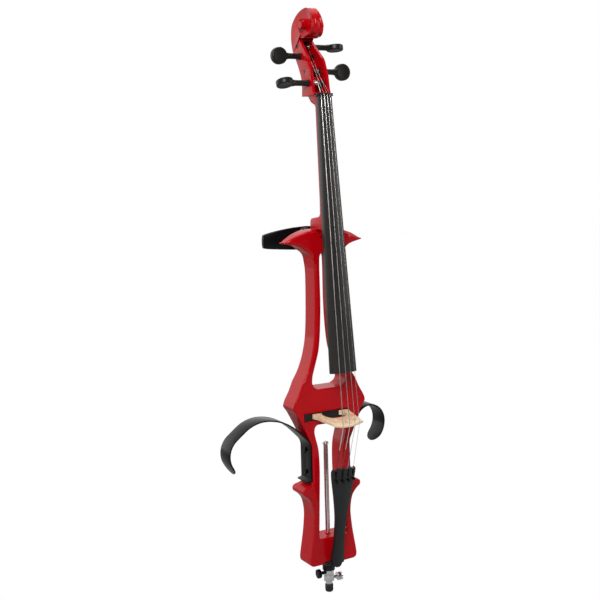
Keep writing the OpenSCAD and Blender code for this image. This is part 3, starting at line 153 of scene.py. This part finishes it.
def red_lacquer():
    f = Finish("red_lacquer", (0.45, 0.0, 0.008), 0.42, coat=0.4, coat_roughness=0.03)
    f.put("Specular IOR Level", 0.05)
    cloud = f.noise(7.0, 4.0)
    grain = f.noise(60.0, 5.0, stretch=(1, 1, 0.06))
    f.put("Base Color", f.blend(cloud * 0.7 + grain * 0.3, (0.41, 0.0, 0.002), (0.5, 0.0, 0.006)))
    f.put("Roughness", 0.38 + grain * 0.12)
    f.relief(f.noise(220.0, 2.0), 0.00002, 0.25)
    return f.material


def ebony(name, colour, roughness):
    f = Finish(name, colour, roughness)
    f.put("Specular IOR Level", 0.3)
    pores = f.noise(900.0, 4.0, stretch=(1, 1, 0.05))
    streak = f.noise(40.0, 4.0, stretch=(1, 1, 0.08), distortion=0.4)
    lighter = tuple(c * 1.9 + 0.004 for c in colour)
    f.put("Base Color", f.blend(streak, colour, lighter))
    f.put("Roughness", roughness - 0.06 + streak * 0.12)
    f.relief(pores, 0.00006, 0.5)
    return f.material


def bridge_maple():
    f = Finish("bridge_maple", (0.72, 0.5, 0.27), 0.42, coat=0.15, coat_roughness=0.3)
    rings = f.noise(90.0, 4.0, stretch=(0.12, 1, 1), distortion=0.6)
    rays = f.noise(700.0, 3.0, stretch=(0.15, 1, 1))
    pale = f.blend(rings, (0.74, 0.52, 0.3), (0.9, 0.74, 0.52))
    f.put("Base Color", f.blend(rays.over(0.62, 0.05), pale, (0.62, 0.42, 0.22)))
    f.put("Roughness", 0.36 + rings * 0.14)
    f.relief(rays, 0.00004, 0.4)
    return f.material


def polished_steel(name="polished_steel", colour=(0.84, 0.84, 0.85), roughness=0.2):
    f = Finish(name, colour, roughness, metallic=1.0)
    haze = f.noise(35.0, 4.0)
    lines = f.noise(1400.0, 2.0, stretch=(1, 1, 0.03))
    f.put("Base Color", f.blend(haze, tuple(c * 0.9 for c in colour), tuple(min(1, c * 1.08) for c in colour)))
    f.put("Roughness", roughness - 0.04 + haze * 0.1)
    f.relief(lines, 0.00001, 0.3)
    return f.material


def black_coat(name, colour, roughness, coat):
    f = Finish(name, colour, roughness, coat=coat, coat_roughness=0.05)
    f.put("Specular IOR Level", 0.12)
    haze = f.noise(25.0, 4.0)
    fleck = f.noise(1200.0, 2.0)
    f.put("Base Color", f.blend(haze, colour, tuple(c * 1.6 + 0.002 for c in colour)))
    f.put("Roughness", roughness - 0.05 + haze * 0.1)
    f.relief(fleck, 0.00002, 0.25)
    return f.material


def rubber():
    f = Finish("black_rubber", (0.012, 0.012, 0.012), 0.7)
    dust = f.noise(120.0, 5.0)
    f.put("Base Color", f.blend(dust.over(0.6, 0.15), (0.01, 0.01, 0.01), (0.035, 0.033, 0.03)))
    f.put("Roughness", 0.62 + dust * 0.2)
    f.relief(f.noise(1500.0, 2.0), 0.00005, 0.5)
    return f.material


def pad_cloth():
    f = Finish("pad_cloth", (0.02, 0.02, 0.022), 0.85)
    threads = f.node("ShaderNodeTexWave", {"bands_direction": "DIAGONAL"},
                     {"Vector": f.place(), "Scale": 420.0, "Distortion": 1.0, "Detail": 2.0}, out=1)
    nap = f.noise(300.0, 5.0)
    f.put("Base Color", f.blend(threads * 0.6 + nap * 0.4, (0.012, 0.012, 0.013), (0.05, 0.05, 0.055)))
    f.put("Roughness", 0.75 + nap * 0.2)
    f.relief(threads, 0.0002, 0.6)
    return f.material


def brass():
    f = Finish("insert_brass", (0.7, 0.47, 0.16), 0.25, metallic=1.0)
    haze = f.noise(90.0, 4.0)
    f.put("Base Color", f.blend(haze, (0.6, 0.38, 0.12), (0.78, 0.55, 0.22)))
    f.put("Roughness", 0.2 + haze * 0.15)
    return f.material


def board_green():
    f = Finish("board_green", (0.01, 0.12, 0.04), 0.3, coat=0.5)
    tracks = f.node("ShaderNodeTexVoronoi", {"feature": "DISTANCE_TO_EDGE"},
                    {"Vector": f.place(), "Scale": 260.0})
    f.put("Base Color", f.blend(tracks.over(0.08, 0.03), (0.02, 0.2, 0.07), (0.008, 0.1, 0.035)))
    f.put("Roughness", 0.28 + tracks * 0.1)
    return f.material


def battery_case():
    f = Finish("battery_case", (0.2, 0.2, 0.21), 0.35, metallic=0.6)
    haze = f.noise(60.0, 3.0)
    f.put("Base Color", f.blend(f.height().over(0.421, 0.0002), (0.05, 0.05, 0.055), (0.35, 0.3, 0.2)))
    f.put("Roughness", 0.3 + haze * 0.12)
    return f.material


def string_metal(name, silk, tail_end):
    """Wound steel, with coloured silk at the tail end."""
    f = Finish(name, (0.5, 0.49, 0.47), 0.28, metallic=1.0)
    up = f.height()
    wound = f.node("ShaderNodeMath", {"operation": "SINE"}, [up * 12000.0])
    silky = 1.0 - up.over(tail_end, 0.0006)
    metal = f.blend(f.noise(50.0, 3.0), (0.74, 0.73, 0.71), (0.86, 0.84, 0.82))
    f.put("Base Color", f.blend(silky, metal, silk))
    f.put("Metallic", 1.0 - silky)
    f.put("Roughness", 0.24 + silky * 0.5)
    f.relief(wound, 0.00001, 0.2)
    return f.material


finishes = {
    "red_lacquer": red_lacquer(),
    "ebony": ebony("ebony_wood", (0.006, 0.0055, 0.005), 0.34),
    "fingerboard": ebony("fingerboard_wood", (0.016, 0.0145, 0.013), 0.38),
    "tailpiece": ebony("tailpiece_wood", (0.008, 0.009, 0.009), 0.4),
    "maple": bridge_maple(),
    "string_metal": polished_steel("plain_string", (0.5, 0.5, 0.5), 0.25),
    "bright_steel": polished_steel(),
    "black_metal": black_coat("black_coat", (0.0015, 0.0015, 0.002), 0.26, 0.08),
    "black_plastic": black_coat("black_plastic", (0.014, 0.014, 0.015), 0.5, 0.0),
    "rubber": rubber(),
    "brass": brass(),
    "foam": pad_cloth(),
    "board_green": board_green(),
    "battery_case": battery_case(),
}
slots = {row["node"]: row["material_slot"] for row in frame["record"]["subparts"]}
for name, thing in nodes.items():
    finish = finishes[slots[name]]
    thing.data.materials.clear()
    thing.data.materials.append(finish)


# Making pieces

def only(thing):
    """Selects one object and nothing else."""
    bpy.ops.object.select_all(action="DESELECT")
    thing.select_set(True)
    bpy.context.view_layer.objects.active = thing


def carry(piece, node, finish=None):
    """The piece stands for a CAD node and moves as it does."""
    piece.data.materials.clear()
    piece.data.materials.append(finish or finishes[slots[node]])
    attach(piece, nodes[node]["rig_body"])
    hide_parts(node)
    return piece


def merged_copy(node, name):
    """A copy of a CAD node's mesh with its loose triangles joined into faces."""
    piece = nodes[node].copy()
    piece.data = nodes[node].data.copy()
    piece.name = name
    piece.parent = None
    for key in list(piece.keys()):
        del piece[key]
    bpy.context.scene.collection.objects.link(piece)
    only(piece)
    bpy.ops.mesh.customdata_custom_splitnormals_clear()
    bpy.ops.object.mode_set(mode="EDIT")
    bpy.ops.mesh.select_all(action="SELECT")
    bpy.ops.mesh.remove_doubles(threshold=2e-6)
    bpy.ops.mesh.dissolve_limited(angle_limit=math.radians(0.8))
    bpy.ops.object.mode_set(mode="OBJECT")
    return piece


SHARP = math.radians(35)


def ease_edges(piece, width, segments):
    """Rounds the piece's sharp edges, and shades the rest smooth."""
    only(piece)
    ease = piece.modifiers.new("eased edges", "BEVEL")
    ease.width = width
    ease.segments = segments
    ease.limit_method = "ANGLE"
    ease.angle_limit = SHARP
    bpy.ops.object.modifier_apply(modifier=ease.name)
    bpy.ops.object.shade_smooth_by_angle(angle=SHARP)


def eased(node, width, segments, finish=None):
    piece = merged_copy(node, node + "_shaped")
    ease_edges(piece, width, segments)
    return carry(piece, node, finish)


WIDEST = 10


def outline_edges(piece, width_at):
    """Marks each edge between a wall and a front or back face with its rounding, as a share of the widest."""
    shape = bmesh.new()
    shape.from_mesh(piece.data)
    bmesh.ops.triangulate(shape, faces=[face for face in shape.faces if len(face.verts) > 4])
    weights = shape.edges.layers.float.new("bevel_weight_edge")
    for edge in shape.edges:
        if len(edge.link_faces) != 2 or edge.calc_face_angle() < math.radians(40):
            continue
        steep, flat = sorted(edge.link_faces, key=lambda face: abs(face.normal.y))
        deep = [v.co.y for v in steep.verts]
        if abs(steep.normal.y) < 0.35 and abs(flat.normal.y) > 0.6 and max(deep) - min(deep) > 0.004:
            spot = (edge.verts[0].co + edge.verts[1].co) / (2 * MM)
            edge[weights] = width_at(spot, steep.normal.x * spot.x < 0) / WIDEST
    shape.to_mesh(piece.data)
    shape.free()


def ease_marked(piece):
    """Rounds the marked edges only."""
    only(piece)
    ease = piece.modifiers.new("eased outline", "BEVEL")
    ease.width = WIDEST * MM
    ease.segments = 5
    ease.limit_method = "WEIGHT"
    ease.use_clamp_overlap = False
    ease.loop_slide = False
    bpy.ops.object.modifier_apply(modifier=ease.name)


def between(value, low, high):
    return min(1.0, max(0.0, (value - low) / (high - low)))


def body_rounding(spot, inward):
    """Rounding of the body's outline in millimetres, larger on the slim upper frame, small at the wing tips."""
    x, y, z = abs(spot.x), spot.y, spot.z
    round_the_panel = y > 0 and x < 59 and 370 < z < 446
    round_the_saddle = x < 23 and z < 77
    if round_the_panel:
        return 0.3
    if round_the_saddle:
        return 0.5
    if inward and z < 734:
        return 2.4
    wide = 3.0 + 3.6 * between(z, 455, 540)
    return wide - (wide - 1.6) * between(x, 62, 99) if z > 700 else wide


body = merged_copy("body_frame", "body_shaped")
outline_edges(body, body_rounding)
ease_marked(body)
bpy.ops.object.shade_smooth_by_angle(angle=math.radians(32))
even = body.modifiers.new("even shading", "WEIGHTED_NORMAL")
even.keep_sharp = True
bpy.ops.object.modifier_apply(modifier=even.name)
carry(body, "body_frame")


# Curves and meshes. From here on the capital names are sizes of the CAD, in millimetres

FRONT = -24.5
BODY_Z = 70.0
NUT_Z = 1064.0


def smooth_curve(points, steps):
    """Centripetal curve through the points."""
    points = [Vector(p) for p in points]
    ends = [points[0] * 2 - points[1]] + points + [points[-1] * 2 - points[-2]]
    made = []
    for a, b, c, d in zip(ends, ends[1:], ends[2:], ends[3:]):
        tb = math.sqrt((b - a).length)
        tc = tb + math.sqrt((c - b).length)
        td = tc + math.sqrt((d - c).length)
        for k in range(steps):
            t = tb + (tc - tb) * k / steps
            ab, bc, cd = a.lerp(b, t / tb), b.lerp(c, (t - tb) / (tc - tb)), c.lerp(d, (t - tc) / (td - tc))
            made.append(ab.lerp(bc, t / tc).lerp(bc.lerp(cd, (t - tb) / (td - tb)), (t - tb) / (tc - tb)))
    return made + [points[-1]]


def add_mesh(name, points, faces):
    """A new object from points in millimetres."""
    data = bpy.data.meshes.new(name)
    data.from_pydata([Vector(p) * MM for p in points], [], faces)
    piece = bpy.data.objects.new(name, data)
    bpy.context.scene.collection.objects.link(piece)
    only(piece)
    bpy.ops.object.mode_set(mode="EDIT")
    bpy.ops.mesh.select_all(action="SELECT")
    bpy.ops.mesh.remove_doubles(threshold=1e-6)
    bpy.ops.mesh.normals_make_consistent(inside=False)
    bpy.ops.object.mode_set(mode="OBJECT")
    return piece


def swept(name, route, radius, sides=12):
    """Round tube along a route in millimetres."""
    rows = []
    side = None
    for k, point in enumerate(route):
        ahead = (route[min(k + 1, len(route) - 1)] - route[max(k - 1, 0)]).normalized()
        if side is None:
            side = ahead.cross(Vector((0.31, 0.52, 0.11)))
        side = (side - ahead * side.dot(ahead)).normalized()
        other = ahead.cross(side)
        rows.append([point + radius * (math.cos(a) * side + math.sin(a) * other)
                     for a in (math.tau * n / sides for n in range(sides))])
    points = [p for row in rows for p in row]
    faces = [(r + n, r + (n + 1) % sides, r + sides + (n + 1) % sides, r + sides + n)
             for r in range(0, (len(rows) - 1) * sides, sides) for n in range(sides)]
    faces += [tuple(range(sides)), tuple((len(rows) - 1) * sides + n for n in range(sides))]
    piece = add_mesh(name, points, faces)
    bpy.ops.object.shade_smooth_by_angle(angle=math.radians(50))
    return piece


# Strings, wound on their pegs

TILT = math.radians(10.7)
TAIL_FRONT, TAIL_FOOT = 9.8, 4
TUNER_PITCH, TUNER_U = 14, 219.3
BRIDGE_PITCH, BRIDGE_H, BRIDGE_ARCH_D, BRIDGE_SLOPE = 14.4, 86.8, 104, 0.14
CROWN_MID_Z = 379.5 + 1.5
NUT_PITCH, NUT_RISE, NUT_HALF_T, BOARD_R, BOARD_HALF_W = 7.34, 13.6, 3, 65, 16.5
PEG_R, COIL_GAP, LOOPS, LOOP_STEPS = 5.8, 0.6, 4, 24
GAUGE = (1.75, 1.4, 1.1, 0.85)
LIFT = (18.4, 55.5, 69.0, 33.6)
RISE = (28.8, 89.6, 111.9, 55.3)
COIL_X = (-3.0, -2.2, 2.4, 3.5)
PEG_SIDE = (-1, -1, 1, 1)


def on_tailpiece(x, v, u):
    """Point given in the tailpiece's own leaning frame."""
    return Vector((x, FRONT - TAIL_FRONT + v * math.cos(TILT) - u * math.sin(TILT),
                   BODY_Z - TAIL_FOOT + u * math.cos(TILT) + v * math.sin(TILT)))


def string_route(i):
    """Centre line from the tuner over the bridge and the nut to the last turn on the peg."""
    radius = GAUGE[i] / 2
    place = i - 1.5
    start = on_tailpiece(place * TUNER_PITCH, -1, TUNER_U)
    x = place * BRIDGE_PITCH
    crown = BRIDGE_H - x ** 2 / BRIDGE_ARCH_D - BRIDGE_SLOPE * x
    bridge = Vector((x, FRONT - crown - radius, CROWN_MID_Z))
    x = place * NUT_PITCH
    arch = math.sqrt(BOARD_R ** 2 - x ** 2) - math.sqrt(BOARD_R ** 2 - BOARD_HALF_W ** 2)
    nut = Vector((x, FRONT - NUT_RISE - arch, NUT_Z + NUT_HALF_T))
    peg = Vector((0, FRONT + LIFT[i], NUT_Z + RISE[i]))
    wind = PEG_R + radius
    reach = nut - peg
    first = math.atan2(reach.z, reach.y) - math.acos(wind / math.hypot(reach.y, reach.z))
    coil = []
    for k in range(LOOP_STEPS * LOOPS + 1):
        a = first - math.tau * k / LOOP_STEPS
        coil.append(peg + Vector((COIL_X[i] + PEG_SIDE[i] * (GAUGE[i] + COIL_GAP) * k / LOOP_STEPS,
                                  wind * math.cos(a), wind * math.sin(a))))
    free = [start.lerp(bridge, k / 8) for k in range(8)]
    playing = [bridge.lerp(nut, k / 24) for k in range(24)]
    behind = [nut.lerp(coil[0], k / 4) for k in range(4)]
    return free + playing + behind + coil + [coil[-1] + (coil[-1] - coil[-2]).normalized() * GAUGE[i]]


SILKS = {"c": (0.10, 0.012, 0.03), "g": (0.01, 0.07, 0.03), "d": (0.16, 0.3, 0.42), "a": (0.5, 0.46, 0.36)}
SILK_TOP = 0.33
for number, letter in enumerate("cgda"):
    string = swept("string_%s_wound" % letter, string_route(number), GAUGE[number] / 2)
    carry(string, "string_" + letter, string_metal("string_metal_" + letter, SILKS[letter], SILK_TOP))

GUT_R = 1.25
RING_Z = BODY_Z - 7
turn = 11.5 + GUT_R + 0.25
leave = Vector((6, FRONT - 5.25, 65.5))
angle = math.atan2(leave.y, leave.x) + math.acos(turn / math.hypot(leave.x, leave.y))
half = [on_tailpiece(5, 0, 20), on_tailpiece(5, 0, 10), on_tailpiece(5, 0, 0), on_tailpiece(5, 0, -1), leave]
half += [Vector((turn * math.cos(a), turn * math.sin(a), RING_Z))
         for a in (angle + (math.pi / 2 - angle) * k / 12 for k in range(12))]
other_half = [Vector((-p.x, p.y, p.z)) for p in reversed(half)]
gut = swept("tail_gut_round", half + [Vector((0, turn, RING_Z))] + other_half, GUT_R)
carry(gut, "tail_gut")


# Neck, with a carved scroll

EYE = Vector((38.0, 154.0))
HEAD = smooth_curve([(64, 131.5), (50, 128), (32, 130), (18, 136), (12, 147), (12, 161), (17, 175), (28, 187),
                     (40, 192.4), (59, 191), (82, 182), (98, 163), (99.5, 150), (98, 130), (94, 114), (88, 102),
                     (73, 84), (61, 67)], 6)
CHEEKS = [(63, 21.5), (81, 20.5), (97, 19), (114, 17), (131, 16.5), (150, 15.2), (170, 12.5), (185, 10.5),
          (200, 9.5)]
SPIRAL_WIDTHS = [(256, 19.0), (300, 20.6), (346, 21.4), (436, 22.6), (526, 24.2), (616, 26.0), (697, 27.5)]
START, END = -48, 697
INNER_TURN = 256
FIRST_TURN_R, TURN_RATIO = 24.7, 0.378
EAR_R, EAR_RIM, EAR_TOP = 7.5, 27.0, 27.5


def along(table, value):
    for (a, fa), (b, fb) in zip(table, table[1:]):
        if value <= b:
            return fa + (fb - fa) * between(value, a, b)
    return table[-1][1]


def head_radius(degrees):
    """Distance from the eye to the head's outline, in the outer turn."""
    way = Vector((math.cos(math.radians(degrees)), math.sin(math.radians(degrees))))
    best = 0.0
    for p, q in zip(HEAD, HEAD[1:]):
        a, b = p - EYE, q - EYE
        ca, cb = way.x * a.y - way.y * a.x, way.x * b.y - way.y * b.x
        if ca * cb <= 0 and ca != cb:
            hit = a.lerp(b, ca / (ca - cb))
            best = max(best, hit.dot(way))
    return best


def spiral_radius(degrees):
    """Distance from the eye to the scroll's edge, in any turn."""
    if degrees < INNER_TURN:
        return head_radius(degrees)
    return FIRST_TURN_R * TURN_RATIO ** ((degrees - INNER_TURN) / 360)


def head_spot(degrees, radius, x):
    """Point of the head, from its angle and distance round the eye and its place across."""
    return Vector((x, FRONT + EYE.x + radius * math.cos(math.radians(degrees)),
                   NUT_Z + EYE.y + radius * math.sin(math.radians(degrees))))


def half_width(degrees):
    """Half the scroll's width across, which grows towards the eye."""
    if degrees >= INNER_TURN:
        return along(SPIRAL_WIDTHS, degrees)
    rise = EYE.y + head_radius(degrees) * math.sin(math.radians(degrees))
    return along(CHEEKS, rise) + 2.5 * between(degrees, 215, INNER_TURN)


def scoop(degrees):
    """How deep the scroll's flank is hollowed beside the next turn."""
    return 0.15 + 3.4 * between(degrees, START + 10, 70)


def carved_scroll():
    """The scroll as open strips: flanks, walls between the turns, ears, and the channelled rim."""
    points, faces = [], []

    def strip(rows):
        width = len(rows[0])
        base = len(points)
        points.extend(p for row in rows for p in row)
        for r in range(len(rows) - 1):
            for n in range(width - 1):
                k = base + r * width + n
                faces.append((k, k + 1, k + width + 1, k + width))

    angles = [START + 5 * k for k in range(int((END - START) / 5) + 1)]
    for side in (-1, 1):
        flanks, walls = [], []
        for a in angles:
            outer, wide = spiral_radius(a), half_width(a)
            inner = max(spiral_radius(a + 360), EAR_R)
            base = wide - scoop(a)
            row = []
            for t in (0.0, 0.035, 0.08, 0.2, 0.36, 0.54, 0.72, 0.88, 1.0):
                dip = (1 - (1 - between(t, 0.05, 0.95)) ** 1.8)
                row.append(head_spot(a, outer + (inner - outer) * t, side * (wide - (wide - base) * dip)))
            flanks.append(row)
            if a >= INNER_TURN:
                foot = half_width(a - 360) - scoop(a - 360) if a >= START + 360 else 0
                walls.append([head_spot(a, outer, side * (foot + (wide - foot) * t))
                              for t in (0, 0.3, 0.7, 1.0)])
        strip(flanks)
        strip(walls)
        ear = []
        for a in [END - 360 + 5 * k for k in range(73)]:
            foot = half_width(a) - scoop(a)
            ear.append([head_spot(a, EAR_R, side * (foot + (EAR_RIM - foot) * t)) for t in (0, 0.5, 1.0)]
                       + [head_spot(a, r, side * (EAR_TOP - 0.02 * (r - 3.5) ** 2))
                          for r in (6.9, 5.0, 2.5, 0.0)])
        strip(ear)
    rows = []
    for a in [START + 4 * k for k in range(int((262 - START) / 4) + 1)]:
        outer, wide = spiral_radius(a), half_width(a)
        deep = 2.3 * between(a, START + 6, 20) * (1 - between(a, 235, 262))
        row = []
        for k in range(-14, 15):
            t = k / 14
            channel = math.sin(math.pi * between(abs(t), 0.06, 0.92)) ** 1.4
            row.append(head_spot(a, outer - deep * channel, wide * t))
        rows.append(row)
    strip(rows)
    return add_mesh("scroll", points, faces)


def cut_head(piece):
    """Cuts the plain scroll off the neck copy, so that the carved one takes its place."""
    past_outline, past_sides = 100.0, 45
    spots = [(a, past_outline) for a in range(START + 3, INNER_TURN + 3, 6)]
    spots += [(a, spiral_radius(a) + 0.4) for a in range(INNER_TURN + 3, START + 364, 4)]
    points = [head_spot(a, r, x) for x in (-past_sides, past_sides) for a, r in spots]
    n = len(spots)
    faces = [(k, (k + 1) % n, n + (k + 1) % n, n + k) for k in range(n)]
    faces += [tuple(reversed(range(n))), tuple(range(n, 2 * n))]
    cutter = add_mesh("head_cutter", points, faces)
    only(piece)
    cut = piece.modifiers.new("head cut", "BOOLEAN")
    cut.operation = "DIFFERENCE"
    cut.solver = "EXACT"
    cut.object = cutter
    bpy.ops.object.modifier_apply(modifier=cut.name)
    bpy.data.objects.remove(cutter)


neck = merged_copy("neck", "neck_shaped")
cut_head(neck)
ease_edges(neck, 0.0012, 3)
carry(neck, "neck")
scroll = carved_scroll()
bpy.ops.object.shade_smooth_by_angle(angle=math.radians(38))
carry(scroll, "neck")

eased("fingerboard", 0.0006, 2, finish=finishes["fingerboard"])
eased("nut", 0.0004, 2)
eased("bridge", 0.0006, 2)
eased("tailpiece", 0.0009, 3, finish=finishes["tailpiece"])
eased("saddle", 0.0006, 3)
eased("leg_rest_left", 0.0009, 3)
eased("leg_rest_right", 0.0009, 3)
eased("chest_rest", 0.0009, 3)
eased("chest_pad", 0.0012, 3)
for name in ("peg_c", "peg_g", "peg_d", "peg_a"):
    eased(name, 0.0006, 2)
small = {"endpin_plug": 0.8, "upper_collar": 0.7, "lower_collar": 0.7, "endpin_tube": 0.2, "tube_cap": 0.4,
         "endpin_rod": 0.3, "rubber_foot": 0.8, "thumbscrew_left": 0.4, "thumbscrew_right": 0.4,
         "leg_rest_screws": 0.3, "chest_bracket": 0.5, "chest_foot": 0.4, "bracket_screws": 0.3,
         "chest_knob_left": 0.5, "chest_knob_right": 0.5, "back_panel": 0.4, "panel_screws": 0.25,
         "volume_knob": 0.6, "tone_knob": 0.6, "switch_slider": 0.2, "battery_door": 0.3, "output_jack": 0.3,
         "headphone_jack": 0.25, "tuner_screw_c": 0.3, "tuner_screw_g": 0.3, "tuner_screw_d": 0.3,
         "tuner_screw_a": 0.3, "tuner_lever_c": 0.2, "tuner_lever_g": 0.2, "tuner_lever_d": 0.2,
         "tuner_lever_a": 0.2}
for name, rounding in small.items():
    eased(name, rounding * MM, 2)


# Stage, light and camera

def paint_stage():
    f = Finish("pale_floor", (0.36, 0.36, 0.36), 0.8)
    f.put("Base Color", f.blend(f.noise(3.0, 2.0), (0.35, 0.35, 0.35), (0.38, 0.38, 0.38)))
    glow = f.node("ShaderNodeEmission", None, {"Color": (1, 1, 1, 1), "Strength": 1.02})
    seen = f.node("ShaderNodeLightPath", out="Is Camera Ray")
    shown = Value(f, f.main.outputs[0])
    mixed = f.node("ShaderNodeMixShader", None, [seen * 0.97, shown, glow])
    f.tree.links.new(mixed.socket, f.tree.nodes["Material Output"].inputs["Surface"])
    return f.material


bpy.ops.object.select_all(action="DESELECT")
bpy.ops.mesh.primitive_circle_add(vertices=96, radius=14, fill_type="NGON", location=(0, 0, -0.0002))
floor = bpy.context.object
floor.name = "floor"
bpy.ops.object.transform_apply(location=True, rotation=True, scale=True)
floor.data.materials.append(paint_stage())

world = bpy.data.worlds.new("studio")
bpy.context.scene.world = world
world.use_nodes = True
tree = world.node_tree
sky = tree.nodes["Background"]
sky.inputs["Color"].default_value = (1, 1, 1, 1)
path = tree.nodes.new("ShaderNodeLightPath")
spot = tree.nodes.new("ShaderNodeTexCoord")
split = tree.nodes.new("ShaderNodeSeparateXYZ")
tree.links.new(spot.outputs["Generated"], split.inputs[0])
room = tree.nodes.new("ShaderNodeMapRange")
room.interpolation_type = "SMOOTHSTEP"
tree.links.new(split.outputs[1], room.inputs[0])
for index, value in ((1, -0.35), (2, 0.7), (3, 0.03), (4, 1.0)):
    room.inputs[index].default_value = value
level = tree.nodes.new("ShaderNodeMix")
level.data_type = "FLOAT"
tree.links.new(path.outputs["Is Camera Ray"], level.inputs[0])
tree.links.new(room.outputs[0], level.inputs[2])
level.inputs[3].default_value = 1.0
tree.links.new(level.outputs[0], sky.inputs["Strength"])


def soft_lamp(name, place, target, power, width, height):
    data = bpy.data.lights.new(name, "AREA")
    data.shape = "RECTANGLE"
    data.size = width
    data.size_y = height
    data.energy = power
    lamp = bpy.data.objects.new(name, data)
    bpy.context.scene.collection.objects.link(lamp)
    lamp.location = place
    lamp.rotation_euler = (Vector(target) - Vector(place)).to_track_quat("-Z", "Y").to_euler()
    lamp.visible_camera = False
    return lamp


soft_lamp("key", (-1.9, -2.6, 2.6), (0, 0, 0.7), 115, 1.6, 1.6)
soft_lamp("fill", (2.8, -1.6, 1.6), (0, 0, 0.6), 30, 1.4, 2.0)
soft_lamp("left_back", (-1.8, 2.8, 1.0), (0, 0, 0.7), 12, 2.4, 2.6)
soft_lamp("top", (0.3, 0.3, 3.2), (0, 0, 0.6), 30, 2.0, 2.0)

yaw, pitch, roll = math.radians(28.735), math.radians(1.344), math.radians(-1.572)
right = Vector((math.cos(yaw), -math.sin(yaw), 0))
ahead = Vector((math.sin(yaw) * math.cos(pitch), math.cos(yaw) * math.cos(pitch), -math.sin(pitch)))
up = right.cross(ahead)
across = right * math.cos(roll) + up * math.sin(roll)
upward = up * math.cos(roll) - right * math.sin(roll)
view = bpy.data.cameras.new("photo_view")
view.sensor_width = 36
view.lens = 62.106
view.shift_x = 0.02078
view.shift_y = -0.17488
view.clip_end = 60
camera = bpy.data.objects.new("photo_view", view)
bpy.context.scene.collection.objects.link(camera)
turned = Matrix((across, upward, -ahead)).transposed().to_4x4()
camera.matrix_world = Matrix.Translation((-1.1224, -1.9082, 0.9087)) @ turned
bpy.context.scene.camera = camera
bpy.context.scene.view_settings.view_transform = "Standard"
